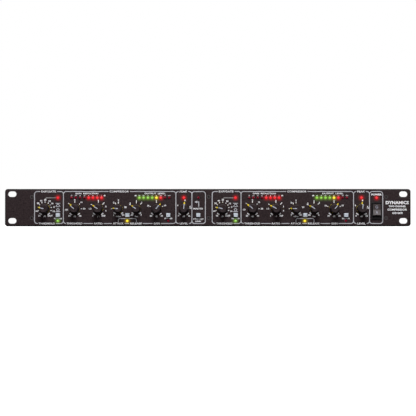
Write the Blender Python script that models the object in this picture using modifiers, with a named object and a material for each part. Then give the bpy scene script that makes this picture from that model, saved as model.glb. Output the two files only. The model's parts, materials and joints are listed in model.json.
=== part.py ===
"""Two-channel rack compressor, one rack unit high.

The frame: +Z is up, -Y is the front panel's side, and the origin is the middle of the bottom of
the whole object's box. Lengths are in metres. front(h) is h in front of the panel's face and
behind(d) is d behind the panel's back, both as places on Y.
"""

import math

import bmesh
import bpy
from mathutils import Matrix, Vector

MM = 0.001

# Driving dimensions
PANEL_WIDTH = 482.6 * MM  # nineteen inches
PANEL_HEIGHT = 44.4 * MM  # one rack unit, 44.45, less a hair
PANEL_THICK = 3.0 * MM
PANEL_CORNER = 3.2 * MM
PANEL_BEVEL = 1.8 * MM
CHASSIS_WIDTH = 434.0 * MM
CHASSIS_DEPTH = 200.0 * MM
KNOB_HEIGHT = 13.0 * MM
REAR_FLANGE = 2.5 * MM  # how far the rear connectors stand out
SHEET = 1.2 * MM
GAP = 0.3 * MM  # between pieces that touch

# Where the front panel stands, so that the whole depth is centred on the origin
DEPTH = KNOB_HEIGHT + PANEL_THICK + CHASSIS_DEPTH + REAR_FLANGE
PANEL_FACE_Y = -DEPTH / 2 + KNOB_HEIGHT
PANEL_BACK_Y = PANEL_FACE_Y + PANEL_THICK
MID_Z = PANEL_HEIGHT / 2 + 0.2 * MM  # the slots' and controls' middle, just over the panel's

# Rack fixing slots
SLOT_X = 465.1 / 2 * MM
SLOT_Z = 31.75 / 2 * MM
SLOT_LENGTH = 10.0 * MM
SLOT_WIDTH = 6.6 * MM

# The two channels repeat one layout, measured from each channel's left edge
CHANNEL_X = {"a": -206.3 * MM, "b": 4.9 * MM}
KNOB_Z = MID_Z - 1.4 * MM
BUTTON_Z = MID_Z - 9.05 * MM
METER_Z = MID_Z + 11.6 * MM
LOW_LED_Z = MID_Z - 15.9 * MM
LED_PITCH = 5.08 * MM
LEDS_IN_METER = 8
METER_STARTS = (44.3 * MM, 124.9 * MM)  # gain reduction, then output level

# name: (distance across the channel, pointer's angle clockwise from the top, size)
KNOBS = {
    "gate_threshold": (12.4 * MM, -78, 1.0),
    "threshold": (48.2 * MM, -50, 1.0),
    "ratio": (76.1 * MM, -59, 1.0),
    "attack": (100.0 * MM, -87, 0.88),
    "release": (121.4 * MM, -57, 0.88),
    "gain": (145.2 * MM, 39, 1.0),
    "peak_level": (177.8 * MM, 6, 1.0),
}
BUTTONS = {"gate_release": 28.3 * MM, "auto": 110.8 * MM, "bypass": 159.4 * MM}
LINK_ACROSS = 195.0 * MM  # the link button and its lamp, on channel a only
HIGH_LEDS = (28.0 * MM, 177.8 * MM)  # gate closed, peak
LOW_LEDS = (28.0 * MM, 110.5 * MM, 159.3 * MM)  # gate open, auto, bypass
POWER_X = 200.7 * MM
ROCKER_Z = MID_Z - 3.3 * MM

# Knobs, their shafts and the controls' bushes
KNOB_SIDES = 16
KNOB_LIFT = 0.5 * MM
KNOB_FACE = 4.0 * MM
KNOB_RIM = (4.45 * MM, 0.5 * MM)  # radius, and how far below the face
KNOB_SKIRT = (5.6 * MM, 2.6 * MM)  # radius, and height off the panel
KNOB_FOOT = 5.85 * MM
ARROW_TIP = 8.5 * MM
ARROW_ROOT = 4.4 * MM
ARROW_HALF = 2.3 * MM
ARROW_Z = (0.6 * MM, 1.7 * MM)
KNOB_BORE = 3.3 * MM
BORE_TOP = 9.5 * MM
SHAFT_RADIUS = 3.0 * MM
SHAFT_SIDES = 12
SHAFT_IN = 8.3 * MM  # how far the shaft goes behind the panel
BUSH_RADIUS = 4.3 * MM
BUSH_BORE = 3.4 * MM
BUSH_HOLE = 4.9 * MM
POT_SIZE = (10.0 * MM, 12.0 * MM)
POT_FRONT = 2.2 * MM
BUSH_END = 0.4 * MM  # how far behind the panel's face the bush ends
BOARD_FRONT = 9.0 * MM
BOARD_THICK = 1.6 * MM
BOARD_Z = (2.5 * MM, 41.0 * MM)
BOARD_ENDS = {"a": 202.8 * MM, "b": 200.3 * MM}  # from the channel's left edge
SOLDERED = 0.6 * MM  # how far soldered pieces reach into their board

# Buttons
CAP_SIZE = (4.8 * MM, 4.6 * MM)
CAP_OUT = 3.6 * MM
CAP_IN = 1.0 * MM
STEM_HALF = 1.5 * MM
STEM_IN = 5.8 * MM
WELL_HALF = 1.9 * MM
SWITCH_HALF = 3.6 * MM
SWITCH_FRONT = 3.2 * MM
WELL_END = 8.2 * MM
CAP_CLEARANCE = 0.35 * MM
CAP_EDGE = 0.4 * MM

# Lamps
LED_RADIUS = 1.5 * MM
LED_OUT = 1.9 * MM
LED_HOLE = 1.9 * MM
LED_SIDES = 8

# Power switch
BEZEL = (12.4 * MM, 9.7 * MM, 10.9 * MM, 1.5 * MM)  # width, above and below the pivot, height
SWITCH_CAVITY = (9.6 * MM, 16.4 * MM)
SWITCH_WALL = 0.5 * MM
SWITCH_DEPTH = 15.0 * MM
ROCKER_WIDTH = 9.0 * MM
ROCKER_RADIUS = 7.82 * MM
PIVOT_OUT = -0.8 * MM  # the pivot lies just behind the panel's face
ROCKER_TILT = math.radians(11)
ROCKER_MIDDLE = 3.0 * MM  # the bottom of the V, out from the pivot
ROCKER_CORNER = (6.6 * MM, 4.2 * MM)  # the ends of the V, along and out
ROCKER_ROUND = (math.radians(14), math.radians(-5))  # where its round ends have their points
ROCKER_BASE = (5.2 * MM, -2.0 * MM)
BEZEL_EDGE = 0.4 * MM
SWITCH_FLOOR = 9.0 * MM  # the depth of the rocker's cavity
SWITCH_TAB = (4.0 * MM, 2.4 * MM, 0.4 * MM, 8.0 * MM)  # offset, half width and thickness, length
PIN_RADIUS = 0.9 * MM
PIN_HOLE = 1.25 * MM

# Panel screws
SCREW_XS = (-209.4 * MM, 0.9 * MM, 212.1 * MM)
SCREW_Z = 12.6 * MM
SCREW_SIDES = 10
SCREW_HEAD = 2.35 * MM
SCREW_SHANK = 1.5 * MM
SCREW_HOLE = 1.9 * MM
SINK = (2.7 * MM, 0.35 * MM, 1.3 * MM)  # radius, straight depth and whole depth
HEAD_DEPTHS = (0.1 * MM, 0.4 * MM, 1.4 * MM)  # face, edge and root of the head
SCREW_SOCKET = (0.95 * MM, 1.2 * MM)  # radius and depth
SCREW_REACH = 5.0 * MM  # behind the panel

# The case: a tray, a cover that laps over its sides, and a rear panel
TRAY_HEIGHT = 42.0 * MM
TAB_REACH = 10.8 * MM
TAB_TOP = 39.0 * MM
COVER_LIP = 31.0 * MM
COVER_UNDER = 42.3 * MM
COVER_SHEET = 1.1 * MM
REAR_SHEET = 1.5 * MM
VENT_STARTS = (66.5 * MM, 136.5 * MM)
VENTS_IN_GROUP = 9
VENT_PITCH = 7.5 * MM
VENT_WIDTH = 3.0 * MM
VENT_ENDS = (96.0 * MM, 140.0 * MM)

# Rear connectors, across the rear as the front sees it
REAR_Z = 21.0 * MM
XLR_XS = {
    "input_xlr_a": -185.0 * MM,
    "output_xlr_a": -150.0 * MM,
    "input_xlr_b": -62.0 * MM,
    "output_xlr_b": -27.0 * MM,
}
JACK_XS = {"sidechain_jack_a": -120.0 * MM, "sidechain_jack_b": 3.0 * MM}
INLET_X = 182.0 * MM
XLR_FLANGE = (26.0 * MM, 31.0 * MM)
XLR_BARREL = 11.7 * MM
XLR_CAVITY = {"input": 9.4 * MM, "output": 8.4 * MM}
XLR_CAVITY_DEPTH = 13.0 * MM
XLR_CORE = 7.2 * MM
POLE_CIRCLE = 3.8 * MM
POLE_ANGLES = (0, math.pi, -math.pi / 2)
PIN_SIZE = 1.2 * MM
SOCKET_SIZE = 1.4 * MM
JACK_NUT = 7.4 * MM
JACK_BUSH = 4.9 * MM
JACK_BORE = 3.3 * MM
JACK_CASE = 7.5 * MM
INLET_FLANGE = (31.0 * MM, 25.0 * MM)
INLET_BODY = (28.0 * MM, 20.2 * MM)
INLET_CAVITY = (24.2 * MM, 16.4 * MM)
BLADES = ((-7.0 * MM, -1.5 * MM), (7.0 * MM, -1.5 * MM), (0.0, 2.5 * MM))
BLADE_HALF = (1.0 * MM, 2.2 * MM)

# Inside
MAIN_BOARD_X = (-205.0 * MM, 125.0 * MM)
MAIN_BOARD_Y = (22.0 * MM, 172.0 * MM)
MAIN_BOARD_Z = 7.5 * MM
MAIN_BOARD_TOP = MAIN_BOARD_Z + BOARD_THICK
CHIP_COLUMNS = [(-184 + 31 * column) * MM for column in range(8)]
CHIP_ROWS = [(48 + 34 * row) * MM for row in range(3)]
CHIP_SIZE = (19.6 * MM, 6.8 * MM, 3.8 * MM)
SIGNAL_TRANSFORMER_XS = (-160 * MM, -98 * MM, -36 * MM, 26 * MM)
SIGNAL_TRANSFORMER_Y = 146.0 * MM
SIGNAL_TRANSFORMER = (22.0 * MM, 16.0 * MM, 15.0 * MM)
CAPACITOR_X = 104.0 * MM
CAPACITOR_YS = (62.0 * MM, 92.0 * MM)
CAPACITOR = (9.0 * MM, 26.0 * MM)  # radius and height
BOARD_POST_XS = (-195 * MM, -40 * MM, 115 * MM)
BOARD_POST_YS = (30 * MM, 164 * MM)
BOARD_POST = 3.5 * MM
TOROID_AT = (166.0 * MM, 118.0 * MM)
TOROID_TOP = 35.0 * MM
TOROID_RADII = (8.0 * MM, 31.0 * MM)
TOROID_ROUND = 5.0 * MM
WASHER = (18.0 * MM, 1.4 * MM)
NUT = (5.0 * MM, 3.2 * MM)
BOLT = (2.5 * MM, 41.0 * MM)
HEATSINK_AT = (48.0 * MM, 160.0 * MM)
HEATSINK_BACK = 3.0 * MM
HEATSINK_HEIGHT = 26.0 * MM
FINS = 7
FIN_PITCH = 5.0 * MM
FIN = (2.0 * MM, 9.0 * MM)  # thickness and reach


def front(height):
    return PANEL_FACE_Y - height


def behind(depth):
    return PANEL_BACK_Y + depth


# Scene and materials


def clear_scene():
    for obj in list(bpy.data.objects):
        bpy.data.objects.remove(obj)


def collection(name):
    made = bpy.data.collections.new(name)
    bpy.context.scene.collection.children.link(made)
    return made


def material(name, colour, roughness, metallic=0.0):
    made = bpy.data.materials.new(name)
    made.use_nodes = True
    shader = made.node_tree.nodes["Principled BSDF"]
    shader.inputs["Base Color"].default_value = (*colour, 1)
    shader.inputs["Roughness"].default_value = roughness
    shader.inputs["Metallic"].default_value = metallic
    return made


clear_scene()
PARTS = collection("rack_compressor")
CUTTERS = collection("cutters")
CUTTERS.hide_render = True

PANEL_PAINT = material("panel_paint", (0.032, 0.025, 0.026), 0.6)
BLACK_PAINT = material("black_paint", (0.02, 0.02, 0.021), 0.5)
BLACK_PLASTIC = material("black_plastic", (0.02, 0.018, 0.02), 0.4)
GREY_PLASTIC = material("grey_plastic", (0.65, 0.68, 0.72), 0.35)
BOARD_GREEN = material("board_green", (0.03, 0.16, 0.06), 0.5)
STEEL = material("steel", (0.55, 0.55, 0.56), 0.35, 1.0)
BLACK_STEEL = material("black_steel", (0.03, 0.03, 0.03), 0.4, 1.0)
ALUMINIUM = material("aluminium", (0.8, 0.8, 0.8), 0.4, 1.0)
COPPER_TAPE = material("winding_tape", (0.75, 0.6, 0.12), 0.45)


# Building blocks


def add_box(bm, x, y, z):
    """A box between the (low, high) pair on each axis."""
    low, high = (Vector(ends) for ends in zip(x, y, z))
    place = Matrix.Translation((low + high) / 2) @ Matrix.Diagonal((*(high - low), 1))
    bmesh.ops.create_cube(bm, size=1, matrix=place)


def about(centre, half):
    return (centre - half, centre + half)


def add_rod(bm, x, z, radius, y, sides):
    """A cylinder along Y between the pair y."""
    place = Matrix.Translation((x, sum(y) / 2, z)) @ Matrix.Rotation(math.pi / 2, 4, "X")
    bmesh.ops.create_cone(bm, cap_ends=True, segments=sides, radius1=radius, radius2=radius,
                          depth=y[1] - y[0], matrix=place)


def add_post(bm, x, y, radius, z, sides):
    """A cylinder along Z between the pair z."""
    bmesh.ops.create_cone(bm, cap_ends=True, segments=sides, radius1=radius, radius2=radius,
                          depth=z[1] - z[0], matrix=Matrix.Translation((x, y, sum(z) / 2)))


def put(name, mesh, paint, place=PARTS):
    obj = bpy.data.objects.new(name, mesh)
    place.objects.link(obj)
    if paint is not None and not mesh.materials:
        mesh.materials.append(paint)
    return obj


def from_bmesh(name, bm, paint, place=PARTS):
    mesh = bpy.data.meshes.new(name)
    bm.to_mesh(mesh)
    bm.free()
    return put(name, mesh, paint, place)


def helper(name, bm):
    """A shape that a Boolean uses and that isn't a part."""
    obj = from_bmesh(name, bm, None, CUTTERS)
    obj.hide_render = True
    obj.display_type = "WIRE"
    return obj


def boolean(obj, operation, other):
    modifier = obj.modifiers.new(other.name, "BOOLEAN")
    modifier.operation = operation
    modifier.object = other


def bevel(obj, width, segments=1):
    modifier = obj.modifiers.new("bevel", "BEVEL")
    modifier.width = width
    modifier.segments = segments
    modifier.limit_method = "ANGLE"
    modifier.angle_limit = math.radians(40)


def turned(name, profile, sides, paint, place=PARTS):
    """The (radius, height) profile, from its top middle down the outside, turned about local Z."""
    mesh = bpy.data.meshes.new(name)
    mesh.from_pydata([(r, 0, h) for r, h in profile],
                     [(i, i + 1) for i in range(len(profile) - 1)], [])
    obj = put(name, mesh, paint, place)
    screw = obj.modifiers.new("turn", "SCREW")
    screw.steps = screw.render_steps = sides
    screw.use_merge_vertices = True
    screw.merge_threshold = 0.00001
    return shaded_round(solid_of(obj, name, paint, place))


def shaded_round(obj):
    """Smooth round sides, with the corners kept sharp."""
    obj.data.shade_smooth()
    obj.data.set_sharp_from_angle(angle=math.radians(40))
    return obj


def outline(name, points, y, paint=None, place=PARTS):
    """A flat (x, z) outline as a plate between the pair y."""
    curve = bpy.data.curves.new(name, "CURVE")
    curve.dimensions = "2D"
    curve.fill_mode = "BOTH"
    curve.extrude = (y[1] - y[0]) / 2
    spline = curve.splines.new("POLY")
    spline.points.add(len(points) - 1)
    for point, (x, z) in zip(spline.points, points):
        point.co = (x, z, 0, 1)
    spline.use_cyclic_u = True
    drawn = bpy.data.objects.new(name, curve)
    place.objects.link(drawn)
    drawn.location = (0, sum(y) / 2, 0)
    drawn.rotation_euler = (math.pi / 2, 0, 0)
    return solid_of(drawn, name, paint, place)


def solid_of(drawn, name, paint, place):
    """The object's evaluated shape as a mesh object of its own, in its place."""
    bpy.context.view_layer.update()
    graph = bpy.context.evaluated_depsgraph_get()
    mesh = bpy.data.meshes.new_from_object(drawn.evaluated_get(graph), depsgraph=graph)
    matrix = drawn.matrix_world.copy()
    bpy.data.objects.remove(drawn)
    bm = bmesh.new()
    bm.from_mesh(mesh)
    bmesh.ops.remove_doubles(bm, verts=bm.verts, dist=0.000001)
    bm.to_mesh(mesh)
    bm.free()
    obj = put(name, mesh, paint, place)
    obj.matrix_world = matrix
    return obj


def hide_cutter(obj):
    obj.hide_render = True
    obj.display_type = "WIRE"
    return obj


def facing_out(obj, x, z, clockwise=0.0):
    """Stands a turned piece on the panel's face, its local Z pointing to the front."""
    obj.location = (x, PANEL_FACE_Y, z)
    obj.rotation_euler = (math.pi / 2, clockwise, 0)


# Where things are on the panel


def knob_places():
    """(name, x, angle in degrees, size) of each knob."""
    for channel, start in CHANNEL_X.items():
        for name, (across, angle, size) in KNOBS.items():
            yield f"{name}_{channel}", start + across, angle, size


def button_places():
    for channel, start in CHANNEL_X.items():
        for name, across in BUTTONS.items():
            yield f"{name}_{channel}", start + across
    yield "stereo_link", CHANNEL_X["a"] + LINK_ACROSS


def led_places(channel):
    """(x, z) of each lamp of a channel. Channel a also has the link's, and b the power's."""
    start = CHANNEL_X[channel]
    for first in METER_STARTS:
        for i in range(LEDS_IN_METER):
            yield start + first + i * LED_PITCH, METER_Z
    for across in HIGH_LEDS:
        yield start + across, METER_Z
    for across in LOW_LEDS:
        yield start + across, LOW_LED_Z
    yield (start + LINK_ACROSS, METER_Z) if channel == "a" else (POWER_X, METER_Z)


# The front panel


def arc(x, z, radius, start, steps):
    """Points of a quarter turn from the angle start."""
    for i in range(steps + 1):
        angle = start + i * math.pi / 2 / steps
        yield x + radius * math.cos(angle), z + radius * math.sin(angle)


def rounded_rectangle(x, z, half_width, half_height, radius, steps):
    corners = ((1, 1), (-1, 1), (-1, -1), (1, -1))
    for i, (sx, sz) in enumerate(corners):
        yield from arc(x + sx * (half_width - radius), z + sz * (half_height - radius),
                       radius, i * math.pi / 2, steps)


def panel_holes():
    bm = bmesh.new()
    through = (front(1 * MM), behind(1 * MM))
    for _, x, _, _ in knob_places():
        add_rod(bm, x, KNOB_Z, BUSH_HOLE, through, SHAFT_SIDES)
    for _, x in button_places():
        add_box(bm, about(x, CAP_SIZE[0] / 2 + CAP_CLEARANCE), through,
                about(BUTTON_Z, CAP_SIZE[1] / 2 + CAP_CLEARANCE))
    for channel in CHANNEL_X:
        for x, z in led_places(channel):
            add_rod(bm, x, z, LED_HOLE, through, LED_SIDES)
    clear = SWITCH_WALL + GAP
    add_box(bm, about(POWER_X, SWITCH_CAVITY[0] / 2 + clear), through,
            about(ROCKER_Z, SWITCH_CAVITY[1] / 2 + clear))
    return helper("panel_holes", bm)


def slot_cutters():
    for i, (sx, sz) in enumerate(((-1, -1), (-1, 1), (1, -1), (1, 1))):
        points = list(rounded_rectangle(sx * SLOT_X, MID_Z + sz * SLOT_Z, SLOT_LENGTH / 2,
                                        SLOT_WIDTH / 2, SLOT_WIDTH / 2 - 0.01 * MM, 4))
        yield hide_cutter(outline(f"slot_cutter_{i + 1}", points,
                                  (front(1 * MM), behind(1 * MM)), None, CUTTERS))


def screw_places():
    for x in SCREW_XS:
        for side in (1, -1):
            yield x, MID_Z + side * SCREW_Z


def countersinks():
    """The screws' holes, wide at the panel's face."""
    radius, straight, depth = SINK
    profile = [(0, 0.5 * MM), (radius, 0.5 * MM), (radius, -straight), (SCREW_HOLE, -depth),
               (SCREW_HOLE, -PANEL_THICK - 1 * MM), (0, -PANEL_THICK - 1 * MM)]
    for i, (x, z) in enumerate(screw_places()):
        cutter = hide_cutter(turned(f"countersink_{i + 1}", profile, SCREW_SIDES, None, CUTTERS))
        facing_out(cutter, x, z)
        yield cutter


def front_panel():
    points = list(rounded_rectangle(0, PANEL_HEIGHT / 2, PANEL_WIDTH / 2, PANEL_HEIGHT / 2,
                                    PANEL_CORNER, 4))
    panel = outline("front_panel", points, (PANEL_FACE_Y, PANEL_BACK_Y), PANEL_PAINT)
    round_front_edge(panel.data)
    boolean(panel, "DIFFERENCE", panel_holes())
    for cutter in (*slot_cutters(), *countersinks()):
        boolean(panel, "DIFFERENCE", cutter)


def round_front_edge(mesh):
    """Bevels the outline's front edges. In the plate's own frame +Z is the front."""
    bm = bmesh.new()
    bm.from_mesh(mesh)
    bmesh.ops.dissolve_limit(bm, angle_limit=0.01, verts=bm.verts, edges=bm.edges)
    edges = [e for e in bm.edges if all(v.co.z > PANEL_THICK / 2 - 0.01 * MM for v in e.verts)]
    bmesh.ops.bevel(bm, geom=edges, offset=PANEL_BEVEL, segments=2, profile=0.5,
                    affect="EDGES")
    bm.to_mesh(mesh)
    bm.free()


# Knobs and shafts


def knob_mesh(size):
    """A tapered knob with a blind bore, and an arrow at its foot that points along local Y."""
    profile = [(0, KNOB_HEIGHT), (KNOB_FACE * size, KNOB_HEIGHT),
               (KNOB_RIM[0] * size, KNOB_HEIGHT - KNOB_RIM[1]),
               (KNOB_SKIRT[0] * size, KNOB_SKIRT[1]), (KNOB_FOOT * size, KNOB_LIFT),
               (KNOB_BORE, KNOB_LIFT), (KNOB_BORE, BORE_TOP), (0, BORE_TOP)]
    knob = turned("knob_pattern", profile, KNOB_SIDES, None)
    tip, root, half = (length * size for length in (ARROW_TIP, ARROW_ROOT, ARROW_HALF))
    low, high = ARROW_Z
    bm = bmesh.new()
    corners = [bm.verts.new(p) for p in ((-half, root, low), (half, root, low), (0, tip, low))]
    arrow = bmesh.ops.extrude_face_region(bm, geom=[bm.faces.new(corners)])["geom"]
    moved = [v for v in arrow if isinstance(v, bmesh.types.BMVert)]
    bmesh.ops.translate(bm, verts=moved, vec=(0, 0, high - low))
    bmesh.ops.recalc_face_normals(bm, faces=bm.faces)
    boolean(knob, "UNION", helper("arrow", bm))
    made = shaded_round(solid_of(knob, "knob_pattern", BLACK_PLASTIC, PARTS))
    mesh = made.data
    bpy.data.objects.remove(made)
    return mesh


def knobs_and_shafts():
    meshes = {size: knob_mesh(size) for size in sorted({k[2] for k in KNOBS.values()})}
    bm = bmesh.new()
    back = -PANEL_THICK - SHAFT_IN
    add_post(bm, 0, 0, SHAFT_RADIUS, (back, BORE_TOP - GAP), SHAFT_SIDES)
    shaft_mesh = bpy.data.meshes.new("shaft")
    bm.to_mesh(shaft_mesh)
    bm.free()
    for name, x, angle, size in knob_places():
        knob = put(f"knob_{name}", meshes[size], BLACK_PLASTIC)
        facing_out(knob, x, KNOB_Z, math.radians(angle))
        shaft = shaded_round(put(f"shaft_{name}", shaft_mesh, STEEL))
        facing_out(shaft, x, KNOB_Z, math.radians(angle))


# Buttons and the power switch


def buttons():
    for name, x in button_places():
        bm = bmesh.new()
        add_box(bm, about(x, CAP_SIZE[0] / 2), (front(CAP_OUT), behind(CAP_IN)),
                about(BUTTON_Z, CAP_SIZE[1] / 2))
        cap = from_bmesh(f"button_{name}", bm, GREY_PLASTIC)
        bevel(cap, CAP_EDGE)
        bm = bmesh.new()
        add_box(bm, about(x, STEM_HALF), (behind(CAP_IN - 0.5 * MM), behind(STEM_IN)),
                about(BUTTON_Z, STEM_HALF))
        boolean(cap, "UNION", helper(f"stem_{name}", bm))


def rocker_section():
    """(along the rocker, outwards) from the pivot: a shallow V in front and round ends."""
    end = [(ROCKER_RADIUS * math.cos(a), ROCKER_RADIUS * math.sin(a)) for a in ROCKER_ROUND]
    half = [ROCKER_CORNER, *end, ROCKER_BASE]
    return [(0, ROCKER_MIDDLE), *half, *[(-u, v) for u, v in reversed(half)]]


def power_rocker():
    """Its section is drawn in local XY and extruded, so that local Z is the pivot."""
    bm = bmesh.new()
    flat = bm.faces.new([bm.verts.new((u, v, -ROCKER_WIDTH / 2)) for u, v in rocker_section()])
    raised = bmesh.ops.extrude_face_region(bm, geom=[flat])["geom"]
    moved = [v for v in raised if isinstance(v, bmesh.types.BMVert)]
    bmesh.ops.translate(bm, verts=moved, vec=(0, 0, ROCKER_WIDTH))
    bmesh.ops.recalc_face_normals(bm, faces=bm.faces)
    # local X (along) to world Z, local Y (outwards) to world -Y, local Z to world X
    turn = Matrix(((0, 0, 1), (0, -1, 0), (1, 0, 0))).to_4x4()
    bmesh.ops.transform(bm, matrix=turn, verts=bm.verts)
    rocker = from_bmesh("power_rocker", bm, BLACK_PLASTIC)
    pin_reach = SWITCH_CAVITY[0] / 2 + SWITCH_WALL - 0.1 * MM
    bm = bmesh.new()
    add_post(bm, 0, 0, PIN_RADIUS, about(0, pin_reach), LED_SIDES)
    bmesh.ops.rotate(bm, verts=bm.verts, matrix=Matrix.Rotation(math.pi / 2, 3, "Y"))
    pin = helper("rocker_pin", bm)
    boolean(rocker, "UNION", pin)
    # At rest the lower end stands out, turned back about X from level
    for piece in (rocker, pin):
        piece.location = (POWER_X, front(PIVOT_OUT), ROCKER_Z)
        piece.rotation_euler = (-ROCKER_TILT, 0, 0)


def power_switch_body():
    cavity_x, cavity_z = (s / 2 for s in SWITCH_CAVITY)
    bm = bmesh.new()
    width, above, below, out = BEZEL
    add_box(bm, about(POWER_X, width / 2), (front(out), front(GAP)),
            (ROCKER_Z - below, ROCKER_Z + above))
    body = from_bmesh("power_switch_body", bm, BLACK_PLASTIC)
    bevel(body, BEZEL_EDGE)
    bm = bmesh.new()
    add_box(bm, about(POWER_X, cavity_x + SWITCH_WALL),
            (front(out / 2), behind(SWITCH_DEPTH)),
            about(ROCKER_Z, cavity_z + SWITCH_WALL))
    boolean(body, "UNION", helper("switch_case", bm))
    bm = bmesh.new()
    offset, half_x, half_z, length = SWITCH_TAB
    for side in (-1, 1):
        add_box(bm, about(POWER_X, half_x),
                (behind(SWITCH_DEPTH - 1 * MM), behind(SWITCH_DEPTH + length)),
                about(ROCKER_Z + side * offset, half_z))
    boolean(body, "UNION", helper("switch_tabs", bm))
    bm = bmesh.new()
    add_box(bm, about(POWER_X, cavity_x), (front(out + 1 * MM), behind(SWITCH_FLOOR)),
            about(ROCKER_Z, cavity_z))
    boolean(body, "DIFFERENCE", helper("switch_cavity", bm))
    bm = bmesh.new()
    add_post(bm, 0, 0, PIN_HOLE, about(0, width / 2 - GAP), LED_SIDES)
    bmesh.ops.rotate(bm, verts=bm.verts, matrix=Matrix.Rotation(math.pi / 2, 3, "Y"))
    bmesh.ops.translate(bm, verts=bm.verts, vec=(POWER_X, front(PIVOT_OUT), ROCKER_Z))
    boolean(body, "DIFFERENCE", helper("pin_holes", bm))


# Boards


def control_board(channel):
    """A channel's board, with what is soldered to it: controls' cases, switch cases and lamps."""
    start = CHANNEL_X[channel]
    knobs = [start + across for across, _, _ in KNOBS.values()]
    switches = [start + across for across in BUTTONS.values()]
    ends = (start - 1 * MM, start + BOARD_ENDS[channel])
    if channel == "a":
        switches.append(start + LINK_ACROSS)
    bm = bmesh.new()
    add_box(bm, ends, (behind(BOARD_FRONT), behind(BOARD_FRONT + BOARD_THICK)), BOARD_Z)
    board = from_bmesh(f"control_board_{channel}", bm, BOARD_GREEN)
    into_board = behind(BOARD_FRONT + SOLDERED)

    bm = bmesh.new()
    for x in knobs:
        add_box(bm, about(x, POT_SIZE[0] / 2), (behind(POT_FRONT), into_board),
                about(KNOB_Z, POT_SIZE[1] / 2))
    for x in switches:
        add_box(bm, about(x, SWITCH_HALF), (behind(SWITCH_FRONT), into_board),
                about(BUTTON_Z, SWITCH_HALF))
    boolean(board, "UNION", helper(f"cases_{channel}", bm))

    bm = bmesh.new()
    for x in knobs:
        add_rod(bm, x, KNOB_Z, BUSH_RADIUS, (front(-BUSH_END), behind(POT_FRONT + 1 * MM)),
                SHAFT_SIDES)
    for x, z in led_places(channel):
        add_rod(bm, x, z, LED_RADIUS, (front(LED_OUT), into_board), LED_SIDES)
    boolean(board, "UNION", helper(f"bushes_and_lamps_{channel}", bm))

    bm = bmesh.new()
    for x in knobs:
        add_rod(bm, x, KNOB_Z, BUSH_BORE, (front(1 * MM), behind(SHAFT_IN + 0.4 * MM)),
                SHAFT_SIDES)
    for x in switches:
        add_box(bm, about(x, WELL_HALF), (behind(SWITCH_FRONT - 1 * MM), behind(WELL_END)),
                about(BUTTON_Z, WELL_HALF))
    if channel == "b":
        clear = SWITCH_WALL + 0.6 * MM
        add_box(bm, (POWER_X - SWITCH_CAVITY[0] / 2 - clear, ends[1] + 1 * MM),
                (behind(BOARD_FRONT - 1 * MM), behind(BOARD_FRONT + 3 * MM)),
                (0, ROCKER_Z + SWITCH_CAVITY[1] / 2 + clear))
    boolean(board, "DIFFERENCE", helper(f"bores_{channel}", bm))


def main_board():
    """The audio board, with its chips, smoothing capacitors and level transformers soldered on."""
    seat = MAIN_BOARD_TOP - SOLDERED
    bm = bmesh.new()
    add_box(bm, MAIN_BOARD_X, [behind(y) for y in MAIN_BOARD_Y], (MAIN_BOARD_Z, MAIN_BOARD_TOP))
    board = from_bmesh("main_board", bm, BOARD_GREEN)
    bm = bmesh.new()
    length, width, height = CHIP_SIZE
    for x in CHIP_COLUMNS:
        for y in CHIP_ROWS:
            add_box(bm, about(x, length / 2), about(behind(y), width / 2),
                    (seat, MAIN_BOARD_TOP + height))
    length, width, height = SIGNAL_TRANSFORMER
    for x in SIGNAL_TRANSFORMER_XS:
        add_box(bm, about(x, length / 2), about(behind(SIGNAL_TRANSFORMER_Y), width / 2),
                (seat, MAIN_BOARD_TOP + height))
    radius, height = CAPACITOR
    for y in CAPACITOR_YS:
        add_post(bm, CAPACITOR_X, behind(y), radius, (seat, MAIN_BOARD_TOP + height),
                 SHAFT_SIDES)
    boolean(board, "UNION", helper("soldered_parts", bm))


# Chassis


def chassis_tray():
    """The floor and sides, with tabs for the panel's screws and posts for the main board."""
    half, inner = CHASSIS_WIDTH / 2, CHASSIS_WIDTH / 2 - SHEET
    section = [(-half, 0), (half, 0), (half, TRAY_HEIGHT), (inner, TRAY_HEIGHT), (inner, SHEET),
               (-inner, SHEET), (-inner, TRAY_HEIGHT), (-half, TRAY_HEIGHT)]
    tray = outline("chassis_tray", section,
                   (behind(GAP), behind(CHASSIS_DEPTH - REAR_SHEET - GAP)), BLACK_PAINT)
    into_sheet = SHEET / 3
    bm = bmesh.new()
    for x in ((into_sheet - half, TAB_REACH - half), about(SCREW_XS[1], TAB_REACH / 2),
              (half - TAB_REACH, half - into_sheet)):
        add_box(bm, x, (behind(GAP), behind(GAP + SHEET)), (into_sheet, TAB_TOP))
    for x in BOARD_POST_XS:
        for y in BOARD_POST_YS:
            add_post(bm, x, behind(y), BOARD_POST, (into_sheet, MAIN_BOARD_Z - GAP), 8)
    boolean(tray, "UNION", helper("tabs_and_posts", bm))
    bm = bmesh.new()
    for x, z in screw_places():
        add_rod(bm, x, z, SCREW_HOLE, (behind(-1 * MM), behind(3 * MM)), SCREW_SIDES)
    boolean(tray, "DIFFERENCE", helper("tab_holes", bm))


def top_cover():
    """A sheet with a lip down each side, and vents over the transformer."""
    inner = CHASSIS_WIDTH / 2 + GAP
    outer, top = inner + COVER_SHEET, COVER_UNDER + COVER_SHEET
    section = [(-outer, COVER_LIP), (-inner, COVER_LIP), (-inner, COVER_UNDER),
               (inner, COVER_UNDER), (inner, COVER_LIP), (outer, COVER_LIP), (outer, top),
               (-outer, top)]
    cover = outline("top_cover", section, (behind(GAP), behind(CHASSIS_DEPTH)), BLACK_PAINT)
    bm = bmesh.new()
    for first in VENT_STARTS:
        for i in range(VENTS_IN_GROUP):
            x = first + i * VENT_PITCH
            add_box(bm, (x, x + VENT_WIDTH), [behind(y) for y in VENT_ENDS],
                    (COVER_UNDER - 1 * MM, top + 1 * MM))
    boolean(cover, "DIFFERENCE", helper("vents", bm))


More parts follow.
